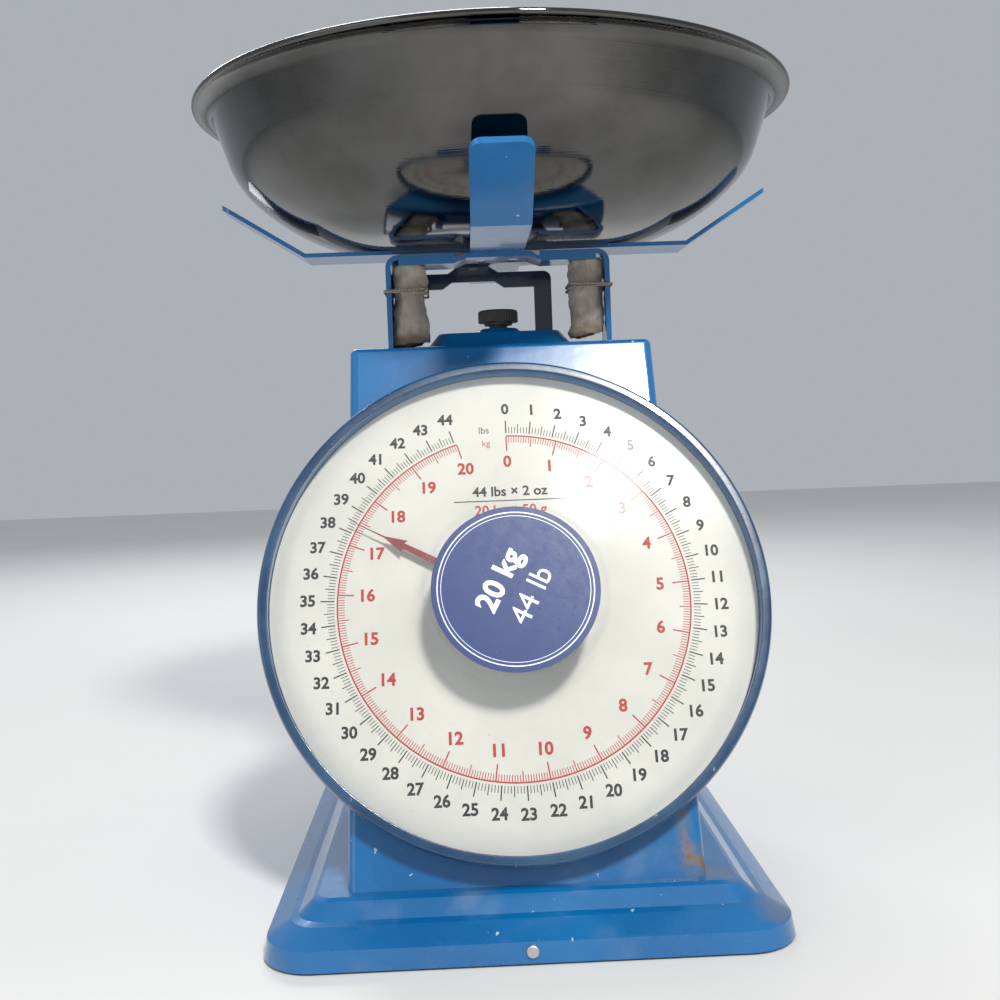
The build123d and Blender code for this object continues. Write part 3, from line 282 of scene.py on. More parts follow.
class Finish:
    """One material, painted over the model's own place."""

    def __init__(self, name, **constants):
        self.material = bpy.data.materials.new(name)
        self.material.use_nodes = True
        self.tree = self.material.node_tree
        self.shader = self.tree.nodes["Principled BSDF"]
        for key, value in constants.items():
            self.shader.inputs[key.replace("_", " ")].default_value = value
        place = self.tree.nodes.new("ShaderNodeTexCoord").outputs["Object"]
        self.place = Signal(self, place)

    def node(self, kind, settings=None, *values, output=0, **named):
        """Any node: its settings first, then its inputs in order or by name, and one output."""
        made = self.tree.nodes.new(kind)
        for key, value in (settings or {}).items():
            setattr(made, key, value)
        inputs = [(made.inputs[index], value) for index, value in enumerate(values)]
        inputs += [(made.inputs[key.replace("_", " ")], value) for key, value in named.items()]
        for socket, value in inputs:
            if isinstance(value, Signal):
                self.tree.links.new(value.socket, socket)
            elif value is not None:
                socket.default_value = value
        return Signal(self, made.outputs[output])

    def noise(self, scale, detail=4.0, roughness=0.55, stretch=None):
        """Cloudy noise, scale in lumps for each metre; stretch scales x, y and z apart."""
        place = self.place
        if stretch:
            place = self.node("ShaderNodeVectorMath", {"operation": "MULTIPLY"}, place, stretch)
        return self.node("ShaderNodeTexNoise", None, Vector=place, Scale=scale, Detail=detail,
                         Roughness=roughness)

    def axes(self):
        """The three coordinates as signals, in metres."""
        parted = self.tree.nodes.new("ShaderNodeSeparateXYZ")
        self.tree.links.new(self.place.socket, parted.inputs[0])
        return [Signal(self, output) for output in parted.outputs]

    def near(self, spot, reach, size=(1, 1, 1)):
        """1 at spot, fading to 0 at reach, both in metres; size stretches the patch."""
        shift = self.node("ShaderNodeVectorMath", {"operation": "SUBTRACT"}, self.place, spot)
        scaled = self.node("ShaderNodeVectorMath", {"operation": "DIVIDE"}, shift, size)
        distance = self.node("ShaderNodeVectorMath", {"operation": "LENGTH"}, scaled, output=1)
        return 1 - distance.ramped(0.0, reach)

    def mix(self, share, first, second):
        """A colour from first at 0 to second at 1."""
        made = self.tree.nodes.new("ShaderNodeMix")
        made.data_type = "RGBA"
        for socket, value in ((made.inputs[0], share), (made.inputs[6], first), (made.inputs[7], second)):
            if isinstance(value, Signal):
                self.tree.links.new(value.socket, socket)
            else:
                socket.default_value = (*value, 1.0) if isinstance(value, tuple) else value
        return Signal(self, made.outputs[2])

    def feed(self, **signals):
        """Link signals to the shader's inputs."""
        for key, signal in signals.items():
            self.tree.links.new(signal.socket, self.shader.inputs[key.replace("_", " ")])

    def bumped(self, height, distance, strength=1.0):
        """Raise the surface by height times distance, in metres."""
        self.feed(Normal=self.node("ShaderNodeBump", None, Height=height, Distance=distance,
                                   Strength=strength))
        return self


print("finish class ready")

# %% [markdown]
# The scale is sprayed with one bright blue enamel over pressed steel. On a scale that works in a
# market the gloss is uneven, dust lies in the low places, fine scratches and specks show the primer,
# and water has left brown rust stains where the ring, the housing and the base meet on the right.

# %% Blue enamel
def enamel(name, bright, deep):
    """Gloss enamel with drifting tone, specks, fine scratches, dust and rust stains."""
    finish = Finish(name, Coat_Roughness=0.08, Specular_IOR_Level=0.5)
    z = finish.axes()[2]
    drift = finish.noise(14, 5)
    fine = finish.noise(420, 3)
    scratches = finish.noise(90, 6, 0.7, (1, 1, 14)).ramped(0.66, 0.70)
    colour = finish.mix(drift.ramped(0.3, 0.75), deep, bright)
    specks = finish.noise(230, 2).ramped(0.735, 0.76)
    colour = finish.mix(specks * 0.75, colour, (0.55, 0.62, 0.66))
    colour = finish.mix(scratches * 0.22, colour, (0.25, 0.42, 0.6))
    dust = finish.noise(34, 6).ramped(0.48, 0.8) * (1 - z.ramped(0.02, 0.26)) * 0.2
    colour = finish.mix(dust, colour, (0.34, 0.40, 0.42))
    stain = finish.noise(60, 7, 0.65)
    runs = finish.noise(46, 5, 0.6, (1, 1, 0.16))
    junction = finish.near((0.072, -0.112, 0.028), 0.034, (1, 1, 0.7)) + finish.near(
        (0.066, -0.10, 0.05), 0.03, (0.3, 1, 1)) + finish.near((0.102, -0.126, 0.014), 0.03)
    left = finish.near((-0.1, -0.135, 0.006), 0.03) * 0.7
    rust = ((junction + left) * (0.45 * stain + 0.55 * runs)).ramped(0.47, 0.58)
    hem = (1 - z.ramped(0.0012, 0.0035)) * stain.ramped(0.60, 0.68)
    rust = rust + hem * 0.5
    halo = ((junction + left) * stain).ramped(0.26, 0.5)
    colour = finish.mix(halo * 0.35, colour, (0.22, 0.17, 0.08))
    brown = finish.mix(fine, (0.12, 0.055, 0.018), (0.30, 0.17, 0.06))
    colour = finish.mix(rust * 0.9, colour, brown)
    finish.feed(Base_Color=colour, Roughness=0.2 + 0.16 * drift + 0.5 * rust + dust,
                Coat_Weight=0.7 - 0.7 * rust)
    peel = finish.noise(160, 2) * 0.6 + fine * 0.15 + rust * fine * 2 - specks * 1.2
    return finish.bumped(peel, 0.00006)


blue = enamel("blue_enamel", (0.001, 0.145, 0.400), (0.001, 0.108, 0.315))
# The rear frame stands in shadow behind the posts: this near-black copy of the blue enamel is painted shade.
blue_in_painted_shade = enamel("rear_frame_painted_shade_enamel", (0.012, 0.030, 0.060), (0.006, 0.014, 0.030))
print("enamels made")

# %% [markdown]
# The dial's hoop has a darker, smoother coat of the same blue, which the sun has chalked a little. It
# carries its own rust at the lower right, where rain runs off the housing.

# %% Ring enamel
ring_paint = Finish("ring_enamel", Coat_Roughness=0.06)
tone = ring_paint.noise(30, 5)
grime = ring_paint.noise(120, 6, 0.7)
ring_rust = ring_paint.near((0.078, -0.098, 0.058), 0.045) * grime
chalk = ring_paint.mix(tone.ramped(0.35, 0.7), (0.004, 0.035, 0.105), (0.02, 0.075, 0.16))
chips = ring_paint.noise(300, 3).ramped(0.70, 0.74)
chalk = ring_paint.mix(chips * 0.6, chalk, (0.35, 0.42, 0.5))
ring_colour = ring_paint.mix(ring_rust.ramped(0.40, 0.52), chalk, (0.22, 0.12, 0.045))
ring_paint.feed(Base_Color=ring_colour, Roughness=0.18 + 0.2 * tone + 0.3 * chips,
                Coat_Weight=0.8 - 0.5 * chips)
ring_paint.bumped(ring_paint.noise(200, 3) - chips, 0.00005)
print("ring enamel made")

# %% [markdown]
# Bright metals: zinc-plated screws and levers, brass bushes, and the bowl's polished stainless steel.
# Polishing and years of scoops leave the bowl with fine rings and smudges that only the reflections
# show, so they go into roughness and a very shallow bump.

# %% Metals
zinc = Finish("zinc_plate", Metallic=1.0)
dull = zinc.noise(110, 5)
tarnish = zinc.noise(45, 6).ramped(0.52, 0.75)
zinc.feed(Base_Color=zinc.mix(tarnish * 0.7, (0.60, 0.61, 0.60), (0.30, 0.25, 0.18)),
          Roughness=0.28 + 0.3 * dull + 0.2 * tarnish)
zinc.bumped(zinc.noise(900, 3), 0.00003)

brass = Finish("turned_brass", Metallic=1.0)
brass_tone = brass.noise(90, 5)
brass.feed(Base_Color=brass.mix(brass_tone, (0.62, 0.44, 0.16), (0.42, 0.29, 0.11)),
           Roughness=0.22 + 0.25 * brass_tone)
brass.bumped(brass.noise(1200, 2, 0.5, (1, 8, 8)), 0.00002)

wire = Finish("oiled_spring_wire", Metallic=1.0)
wire_tone = wire.noise(140, 4)
wire.feed(Base_Color=wire.mix(wire_tone, (0.23, 0.23, 0.24), (0.11, 0.10, 0.10)),
          Roughness=0.25 + 0.3 * wire_tone)
wire.bumped(wire.noise(1500, 2), 0.00002)

steel = Finish("stainless_with_painted_dark_reflection", Metallic=1.0)
east, north, height = steel.axes()
reach = (east * east + north * north).root()
rings = steel.node("ShaderNodeTexNoise", {"noise_dimensions": "1D"}, W=reach * 900 + height * 900,
                   Scale=1.0, Detail=3.0)
smudge = steel.noise(26, 6, 0.6)
marks = steel.noise(520, 2, 0.5, (1, 1, 0.2)).ramped(0.68, 0.72)
# Both base colours, near 0.1, are far darker than stainless steel: painted dark reflection of a dim room,
# varied by real smudges.
steel.feed(Base_Color=steel.mix(smudge.ramped(0.35, 0.7), (0.115, 0.112, 0.11), (0.085, 0.083, 0.08)),
           Roughness=0.03 + 0.03 * rings + 0.06 * smudge.ramped(0.5, 0.8) + 0.06 * marks)
steel.bumped(rings * 0.5 + steel.noise(12, 2) * 6, 0.00004)
print("metals made")

# %% [markdown]
# The plastics and rubber: a knurled black knob, rubber feet, the clear lens, and the printed disc on
# it. The lens has to let light through to the print under it, so it is a clear film that turns glossy
# at a glance and milky where it is scuffed, mixed with a Mix Shader.

# %% Plastics, rubber and lens
black = Finish("black_moulding")
speck = black.noise(260, 4)
dusty = black.noise(60, 5).ramped(0.45, 0.75)
black.feed(Base_Color=black.mix(dusty * 0.5, (0.018, 0.017, 0.016), (0.10, 0.095, 0.085)),
           Roughness=0.36 + 0.25 * speck)
black.bumped(speck, 0.00004)

rubber = Finish("black_rubber", Specular_IOR_Level=0.3)
crumb = rubber.noise(700, 4)
rubber.feed(Base_Color=rubber.mix(crumb, (0.012, 0.012, 0.012), (0.035, 0.033, 0.031)),
            Roughness=0.7 + 0.2 * crumb)
rubber.bumped(crumb, 0.0001)

lens_plastic = Finish("clear_lens_plastic", Specular_IOR_Level=0.6, IOR=1.49)
haze = lens_plastic.noise(70, 6, 0.65)
scuffs = lens_plastic.noise(160, 7, 0.75, (6, 1, 1)).ramped(0.62, 0.72)
lens_plastic.feed(
    Base_Color=lens_plastic.mix(haze, (0.62, 0.65, 0.65), (0.54, 0.57, 0.57)),
    Roughness=0.05 + 0.05 * haze + 0.25 * scuffs)
lens_plastic.bumped(lens_plastic.noise(18, 2), 0.0003)
clear = lens_plastic.node("ShaderNodeBsdfTransparent", None, (0.975, 0.978, 0.976, 1.0))
glance = lens_plastic.node("ShaderNodeLayerWeight", None, Blend=0.30, output=1)
cover = 0.02 + 0.20 * glance + 0.02 * haze.ramped(0.4, 0.8) + 0.05 * scuffs
through = lens_plastic.node("ShaderNodeMixShader", None, cover, clear,
                            Signal(lens_plastic, lens_plastic.shader.outputs[0]))
lens_plastic.tree.links.new(through.socket, lens_plastic.tree.nodes["Material Output"].inputs[0])

label_print = Finish("printed_blue_disc", Coat_Weight=0.6, Coat_Roughness=0.12)
ink = label_print.noise(220, 5)
wear = label_print.noise(800, 6, 0.75).ramped(0.60, 0.66)
disc_blue = label_print.mix(ink, (0.003, 0.026, 0.150), (0.005, 0.036, 0.185))
label_print.feed(Base_Color=label_print.mix(wear * 0.35, disc_blue, (0.22, 0.32, 0.50)),
                 Roughness=0.3 + 0.25 * ink)
label_print.bumped(wear, 0.00003)

silver_ink = Finish("silver_print", Metallic=0.3)
flake = silver_ink.noise(900, 4)
silver_ink.feed(Base_Color=silver_ink.mix(flake, (0.55, 0.62, 0.72), (0.78, 0.82, 0.86)),
                Roughness=0.35 + 0.2 * flake)
silver_ink.bumped(flake, 0.00002)
print("plastics made")

# %% [markdown]
# The dial is off-white enamel, printed in black and red. Age leaves it unevenly toned and speckled.
# The print is thin ink that breaks up slightly at its edges. The pointer's red lacquer turns dark at
# its tip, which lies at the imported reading.

# %% Dial enamel and inks
dial_white = Finish("dial_enamel", Coat_Weight=0.3, Coat_Roughness=0.2)
cloud = dial_white.noise(22, 5)
grit = dial_white.noise(650, 4).ramped(0.66, 0.72)
paper_tone = dial_white.mix(cloud.ramped(0.3, 0.7), (0.76, 0.745, 0.69), (0.68, 0.67, 0.62))
dial_white.feed(Base_Color=dial_white.mix(grit * 0.35, paper_tone, (0.42, 0.42, 0.38)),
                Roughness=0.42 + 0.2 * cloud)
dial_white.bumped(dial_white.noise(500, 3), 0.00003)


def ink_of(name, dense, thin):
    """Printing ink, thinner where the screen starved."""
    ink_finish = Finish(name)
    starved = ink_finish.noise(480, 5)
    ink_finish.feed(Base_Color=ink_finish.mix(starved.ramped(0.45, 0.75), dense, thin),
                    Roughness=0.45 + 0.2 * starved)
    return ink_finish.bumped(starved, 0.00001)


black_ink = ink_of("black_print", (0.008, 0.008, 0.010), (0.025, 0.025, 0.028))
red_ink = ink_of("red_print", (0.48, 0.012, 0.016), (0.55, 0.035, 0.035))

POINTER_TIP = 80.5 * MM
POINTER_LEAN = radians(61.7)
lacquer = Finish("red_lacquer", Coat_Weight=0.5, Coat_Roughness=0.1)
pool = lacquer.noise(150, 4)
tip_at = Vector((-sin(POINTER_LEAN) * POINTER_TIP, cos(POINTER_LEAN) * POINTER_TIP, 0))
tip = lacquer.near(dial_matrix @ tip_at, 22 * MM)
red = lacquer.mix(pool, (0.20, 0.006, 0.012), (0.28, 0.010, 0.018))
lacquer.feed(Base_Color=lacquer.mix(tip, red, (0.03, 0.01, 0.012)), Roughness=0.3 + 0.2 * pool)
lacquer.bumped(pool, 0.00003)
print("dial inks made")

# %% [markdown]
# The packing is brown-grey wrapping paper, rolled, crushed and tied with twine. The creases are in the
# mesh; the finish adds the fibre, stains and a darker band at the torn lower end. Twine shows its
# two-ply twist, a slanting wave along it.

# %% Paper and twine
paper = Finish("wrapping_paper", Specular_IOR_Level=0.2)
fibre = paper.noise(500, 6, 0.7, (1, 1, 0.3))
blotch = paper.noise(90, 5)
rise = paper.axes()[2]
# Darker towards the roll's lower end, below about 0.26 m, with a ragged edge.
lower_band = 1 - (rise + blotch * 0.012).ramped(0.258, 0.268)
sheet_tone = paper.mix(blotch.ramped(0.3, 0.7), (0.34, 0.30, 0.25), (0.50, 0.45, 0.38))
sheet_tone = paper.mix(fibre.ramped(0.45, 0.75) * 0.4, sheet_tone, (0.20, 0.17, 0.13))
paper.feed(Base_Color=paper.mix(lower_band * 0.75, sheet_tone, (0.12, 0.07, 0.035)),
           Roughness=0.8 + 0.15 * fibre)
paper.bumped(fibre * 0.6 + blotch, 0.0004)

twine = Finish("tied_twine", Specular_IOR_Level=0.2)
tx, ty, tz = twine.axes()
twist = ((tx + ty) * 3600 + tz * 4200).sine()
lint = twine.noise(1400, 5)
twine.feed(Base_Color=twine.mix(lint, (0.42, 0.37, 0.29), (0.25, 0.21, 0.16)),
           Roughness=0.8 + 0.15 * lint)
twine.bumped(twist * 0.7 + lint, 0.0003)
print("paper and twine made")

# %% [markdown]
# ## The dial's hoop
# The hoop is pressed from sheet: a flat lip holds the lens's edge, then the sheet rolls over and runs
# back round the case. Every corner is rounded, because pressed sheet has no sharp ones, and that
# rounding is what draws the bright line round a real dial.

# %% Hoop
hoop_low, hoop_high = along_dial("bezel_ring")
hoop_sheet = 1.2 * MM
lip_radius = ring_radius - 4.7 * MM
front, back = hoop_high.z, hoop_low.z
hoop_profile = [(lip_radius, front - hoop_sheet), (lip_radius, front), (ring_radius - 1.0 * MM, front),
                (ring_radius, front - 2.2 * MM), (ring_radius, back), (ring_radius - hoop_sheet, back),
                (ring_radius - hoop_sheet, front - 2.6 * MM),
                (ring_radius - 2.6 * MM, front - hoop_sheet)]
hoop = turned("dial_hoop", softened(hoop_profile, 0.9 * MM, closed=True), 192, dial_matrix, capped=False,
              smooth_below=60)
hoop.data.materials.append(ring_paint.material)
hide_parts("bezel_ring")
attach(hoop, "housing")
print("hoop has", len(hoop.data.polygons), "faces")

# %% [markdown]
# ## The lens
# The lens is one clear moulding: a flange under the hoop, a sloping shoulder, a shallow dome and a
# drum in the middle whose flat top carries the printed disc. Its inner wall follows the outer one, a
# wall's thickness behind.

# %% Lens
lens_low, lens_high = along_dial("lens")
boss_top = lens_high.z
flange_z = lens_low.z
wall = 1.5 * MM
boss, flange = 38 * MM, lens_high.x
outer = [(2 * MM, boss_top), (boss, boss_top), (boss + 3 * MM, flange_z + 9.5 * MM),
         (lip_radius - 9 * MM, flange_z + 8 * MM), (lip_radius - 4.5 * MM, flange_z + 4 * MM),
         (lip_radius - 1.5 * MM, flange_z + wall), (flange, flange_z + wall)]
inner = [(flange, flange_z), (lip_radius - 2.4 * MM, flange_z),
         (lip_radius - 6 * MM, flange_z + 3.6 * MM), (lip_radius - 9.6 * MM, flange_z + 6.5 * MM),
         (boss + 2 * MM, flange_z + 8 * MM), (boss - wall, boss_top - wall), (2 * MM, boss_top - wall)]
lens = turned("clear_lens", softened(outer, 2.2 * MM) + softened(inner, 1.5 * MM), 192, dial_matrix)
lens.data.materials.append(lens_plastic.material)
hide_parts("lens")
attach(lens, "housing")
print("lens stands", round((boss_top - dial_face) / MM, 1), "mm over the dial")

# %% [markdown]
# ## The bowl
# A spun stainless bowl: a flat floor, a wide curve up, a steep wall, a small outward flare and a
# rolled bead at the rim. Walking along the profile with straight runs and turns gives the outside,
# and the inside is the same walk a sheet's thickness away.

# %% Bowl
bowl_low, bowl_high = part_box("bowl")
rim_radius = bowl_high.x
bead = 1.3 * MM
bowl_sheet = 0.8 * MM


def walked(start, steps, offset):
    """Points of a profile walked from start: each step is (radius or 0, degrees or length)."""
    place, heading, points = Vector(start), 0.0, []
    for radius, amount in steps:
        parts = 16 if radius > 10 * MM else 5
        if not radius:
            points.append(place + Vector((-sin(heading), cos(heading))) * offset)
            place = place + Vector((cos(heading), sin(heading))) * amount
            continue
        for _ in range(parts):
            points.append(place + Vector((-sin(heading), cos(heading))) * offset)
            turn = radians(amount) / parts
            chord = 2 * radius * sin(abs(turn) / 2)
            heading += turn / 2
            place = place + Vector((cos(heading), sin(heading))) * chord
            heading += turn / 2
    points.append(place + Vector((-sin(heading), cos(heading))) * offset)
    return [tuple(point) for point in points], heading


lip_run = 7 * MM
bowl_walk = [(95 * MM, 45), (40 * MM, 27), (0, 18.8 * MM), (6 * MM, -50), (0, lip_run)]
bowl_floor = (52 * MM, bowl_low.z)
outside, lean = walked(bowl_floor, bowl_walk, 0)
reach_left = rim_radius - bead - outside[-1][0]
bowl_walk[-1] = (0, lip_run + reach_left / cos(lean))
outside, lean = walked(bowl_floor, bowl_walk, 0)
inside, lean = walked(bowl_floor, bowl_walk, bowl_sheet)
rim = outside[-1]
roll = [(rim[0] + bead * cos(turn), rim[1] + bead * sin(turn))
        for turn in (lean - pi + radians(25) + radians(26) * step for step in range(13))]
bowl = turned("weighing_bowl", outside[:-1] + roll + inside[-2::-1], 192, smooth_below=60)
bowl.data.materials.append(steel.material)
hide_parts("bowl")
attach(bowl, "bowl")
print("bowl is", round(2 * max(v.co.x for v in bowl.data.vertices) / MM, 1), "mm wide")

# %% [markdown]
# ## The dial's print
# A graduated scale repeats one mark, which is the spin operator's work: a thin bar is added at the
# top of the dial and spun round it as copies. One full turn is 21 kg, and the marks stop at 20 kg and
# at 44 lb. Longer marks lie over the short ones at the halves and the whole units.

# %% Marks
FULL_TURN_KG = 21.0
KG_PER_POUND = 0.45359
PRINT = 0.02 * MM
INK_LEVEL = dial_face + 0.5 * PRINT
KILOGRAM_RADIUS = 77 * MM
POUND_RADIUS = 78.5 * MM
KILOGRAM_NUMERALS = 64.6 * MM
POUND_NUMERALS = 90.2 * MM


def marks(name, inner_radius, outer_radius, width, count, step, finish, level=0):
    """Copies of one radial bar, from zero at the top, every step kilograms clockwise."""
    nothing_selected()
    bar = (width, outer_radius - inner_radius, PRINT)
    middle = (0, (inner_radius + outer_radius) / 2, INK_LEVEL + level * 0.5 * PRINT)
    bpy.ops.mesh.primitive_cube_add(size=1, location=middle, scale=bar)
    piece = started(name)
    bpy.ops.mesh.select_all(action="SELECT")
    bpy.ops.mesh.spin(steps=count, dupli=True, angle=2 * pi * count * step / FULL_TURN_KG,
                      center=(0, 0, 0), axis=(0, 0, 1))
    settled(piece, dial_matrix)
    piece.data.materials.append(finish.material)
    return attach(piece, "housing")


marks("marks_50_g", 74.0 * MM, KILOGRAM_RADIUS, 0.34 * MM, 400, 0.05, red_ink)
marks("marks_half_kilogram", 72.2 * MM, KILOGRAM_RADIUS, 0.44 * MM, 40, 0.5, red_ink, 1)
marks("marks_kilogram", 70.0 * MM, KILOGRAM_RADIUS, 0.60 * MM, 20, 1.0, red_ink, 2)
ounces = KG_PER_POUND / 8
marks("marks_2_oz", POUND_RADIUS, 81.6 * MM, 0.32 * MM, 352, ounces, black_ink)
marks("marks_half_pound", POUND_RADIUS, 83.0 * MM, 0.40 * MM, 88, 4 * ounces, black_ink, 1)
marks("marks_pound", POUND_RADIUS, 84.6 * MM, 0.55 * MM, 44, 8 * ounces, black_ink, 2)
print("marks printed")

# %% [markdown]
# A red line joins the kilogram marks. It is a band spun from one small bar without copies, as a pen
# would draw it.

# %% Red line
def band(name, radius, width, turn, finish, level=0, segments=200):
    """A thin arc of print from the top of the dial, clockwise through turn radians."""
    nothing_selected()
    bpy.ops.mesh.primitive_plane_add(size=1, location=(0, radius, INK_LEVEL + level * 0.5 * PRINT))
    piece = started(name)
    bpy.ops.mesh.select_all(action="SELECT")
    bpy.ops.transform.resize(value=(PRINT, width, 1))
    bpy.ops.transform.rotate(value=pi / 2, orient_axis="Y",
                             center_override=(0, radius, INK_LEVEL + level * 0.5 * PRINT))
    bpy.ops.mesh.spin(steps=segments, dupli=False, angle=turn, center=(0, 0, 0), axis=(0, 0, 1))
    bpy.ops.mesh.select_all(action="SELECT")
    bpy.ops.mesh.remove_doubles(threshold=1e-7)
    bpy.ops.mesh.normals_make_consistent(inside=False)
    settled(piece, dial_matrix)
    piece.data.materials.append(finish.material)
    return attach(piece, "housing")


band("kilogram_line", 77.2 * MM, 0.65 * MM, 2 * pi * 20 / FULL_TURN_KG, red_ink)
print("red line drawn")

# %% [markdown]
# Numerals stay upright all round this dial. Each is a text object made a mesh, and the numerals of one
# scale are joined into one printed piece.

# %% Numerals
def lettering(words, size, centre, bold=0.0, turn=0.0):
    """One line of print, centred, lying flat in the dial's frame."""
    nothing_selected()
    bpy.ops.object.text_add(location=(centre[0], centre[1], INK_LEVEL), rotation=(0, 0, turn))
    line = bpy.context.object
    line.data.body = words
    line.data.size = size
    line.data.align_x = "CENTER"
    line.data.align_y = "CENTER"
    line.data.extrude = PRINT / 2
    line.data.offset = bold * size
    line.data.resolution_u = 3
    bpy.ops.object.convert(target="MESH")
    return bpy.context.object


def printed(name, lines, finish, matrix=dial_matrix):
    """Join printed lines into one piece on the dial."""
    nothing_selected()
    for line in lines:
        line.select_set(True)
    bpy.context.view_layer.objects.active = lines[0]
    if len(lines) > 1:
        bpy.ops.object.join()
    piece = bpy.context.object
    piece.name = piece.data.name = name
    settled(piece, matrix, 5)
    piece.data.materials.clear()
    piece.data.materials.append(finish.material)
    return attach(piece, "housing")


def round_dial(kilograms, radius):
    """The point at a reading, radius from the dial's centre."""
    turn = 2 * pi * kilograms / FULL_TURN_KG
    return radius * sin(turn), radius * cos(turn)


pounds = [lettering(str(value), 6.9 * MM, round_dial(value * KG_PER_POUND, POUND_NUMERALS), 0.034)
          for value in range(45)]
printed("pound_numerals", pounds, black_ink)
kilos = [lettering(str(value), 7.4 * MM, round_dial(value, KILOGRAM_NUMERALS), 0.034) for value in range(21)]
printed("kilogram_numerals", kilos, red_ink)
unit_turn = FULL_TURN_KG - 0.42
printed("pound_sign", [lettering("lbs", 4.6 * MM, round_dial(unit_turn, 80.8 * MM))], black_ink)
printed("kilogram_sign", [lettering("kg", 4.2 * MM, round_dial(unit_turn, 74.4 * MM))], red_ink)
printed("pound_capacity", [lettering("44 lbs × 2 oz", 6.4 * MM, (0.5 * MM, 50.4 * MM), 0.024)], black_ink)
printed("kilogram_capacity", [lettering("20 kg × 50 g", 6.4 * MM, (0.5 * MM, 41.6 * MM), 0.024)], red_ink)
print("numerals printed")

# %% [markdown]
# A ruled line parts the two capacities. It starts as a bar, and small bevels at its corners round its
# ends.

# %% Ruled line
nothing_selected()
bpy.ops.mesh.primitive_cube_add(size=1, location=(2 * MM, 46.2 * MM, INK_LEVEL),
                                scale=(54 * MM, 0.5 * MM, PRINT))
rule = started("capacity_rule")
bpy.ops.mesh.select_all(action="SELECT")
bpy.ops.mesh.bevel(offset=0.15 * MM, segments=2, affect="VERTICES")
settled(rule, dial_matrix)
rule.data.materials.append(black_ink.material)
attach(rule, "housing")
print("rule drawn")

# %% [markdown]
# ## The disc on the lens
# The printed disc carries a plain decoration: two fine silver rings and the capacities.

# %% Disc
disc_top = along_dial("lens_label")[1].z
disc_level = Matrix.Translation((0, 0, disc_top - INK_LEVEL + 0.5 * PRINT))
disc_matrix = dial_matrix @ disc_level
for ring_name, ring_at, ring_width in (("disc_outer_ring", 32.6 * MM, 0.5 * MM),
                                       ("disc_inner_ring", 31.2 * MM, 0.25 * MM)):
    nothing_selected()
    hoop_of_ink = [(ring_at, INK_LEVEL), (ring_at + ring_width, INK_LEVEL),
                   (ring_at + ring_width, INK_LEVEL + PRINT), (ring_at, INK_LEVEL + PRINT)]
    ink_ring = turned(ring_name, hoop_of_ink, 160, disc_matrix, capped=False)
    ink_ring.data.materials.append(silver_ink.material)
    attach(ink_ring, "housing")
slant = radians(62)
disc_words = [lettering("20 kg", 13 * MM, (-7.5 * MM * sin(slant), 7.5 * MM * cos(slant)), 0.03, slant),
              lettering("44 lb", 13 * MM, (7.5 * MM * sin(slant), -7.5 * MM * cos(slant)), 0.0, slant)]
printed("disc_capacities", disc_words, silver_ink, disc_matrix)
print("disc decorated")

# %% [markdown]
# ## Packing
# Each post still carries a roll of wrapping paper that propped the frame for shipping. A roll starts
# as a turned stack of rings, pinched where the twine ties it and spread at its trodden lower end, and
# cloud textures then push it into creases.

# %% Paper rolls
travel = abs(next(j for j in frame["joints"] if j["name"] == "platform_slide")["range_m"][0])
for side, waist, foot_share in (("left", 0.80, 1.16), ("right", 0.90, 0.98)):
    low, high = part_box("packing_roll_" + side)
    middle = (low + high) / 2
    tall, thick = high.z - low.z, (high.x - low.x) / 2
    shares = [(0.0, foot_share), (0.06, foot_share * 1.02), (0.2, foot_share * 0.97), (0.42, 0.93),
              (0.56, waist), (0.60, waist), (0.72, 0.88), (0.9, 0.90), (1.0, 0.84)]
    outer = []
    for (low_at, low_size), (high_at, high_size) in zip(shares, shares[1:]):
        for step in range(5):
            share = step / 5
            outer.append(((low_size + (high_size - low_size) * share) * thick * 0.94,
                          (low_at + (high_at - low_at) * share) * tall))
    outer.append((shares[-1][1] * thick * 0.94, tall * 0.985))
    rolled_in = [(outer[-1][0] * inwards, tall * (0.985 - depth)) for inwards, depth in
                 ((0.8, 0.0), (0.7, 0.03), (0.6, 0.0), (0.45, 0.02), (0.3, 0.0), (0.1, 0.03))]
    start_in = [(outer[0][0] * inwards, depth * tall) for inwards, depth in
                ((0.1, 0.03), (0.3, 0.01), (0.5, 0.03), (0.7, 0.0), (0.85, 0.02))]
    roll_piece = turned("paper_roll_" + side, start_in + outer + rolled_in, 72)
    for texture_name, size, strength in (("crush", 13 * MM, 1.6 * MM), ("crease", 5 * MM, 0.8 * MM),
                                         ("fibre_fold", 1.6 * MM, 0.35 * MM)):
        texture = bpy.data.textures.new(texture_name + "_" + side, "MUSGRAVE" if size > 3 * MM else "CLOUDS")
        texture.noise_scale = size
        applied(roll_piece, "DISPLACE", texture=texture, strength=strength, mid_level=0.62,
                texture_coords="LOCAL")
    applied(roll_piece, "SMOOTH", factor=0.35, iterations=1)
    nothing_selected()
    roll_piece.select_set(True)
    bpy.context.view_layer.objects.active = roll_piece
    roll_piece.location = (middle.x, middle.y, low.z)
    bpy.ops.object.transform_apply(location=True, rotation=True, scale=True)
    bpy.ops.object.shade_smooth_by_angle(angle=radians(40))
    roll_piece.data.materials.append(paper.material)
    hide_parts("packing_roll_" + side)
    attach(roll_piece, "housing")
    (tall - travel) / tall
    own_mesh(roll_piece)
    print(side, "roll keeps", round((tall - travel) / MM, 1), "mm of its", round(tall / MM, 1))

# %% [markdown]
# Twine goes twice round each post and its roll. One turn is a rounded rectangle: a plane's four corners
# are bevelled, the outline becomes a curve with a round section, and the second turn is a copy a
# little lower and not quite level.

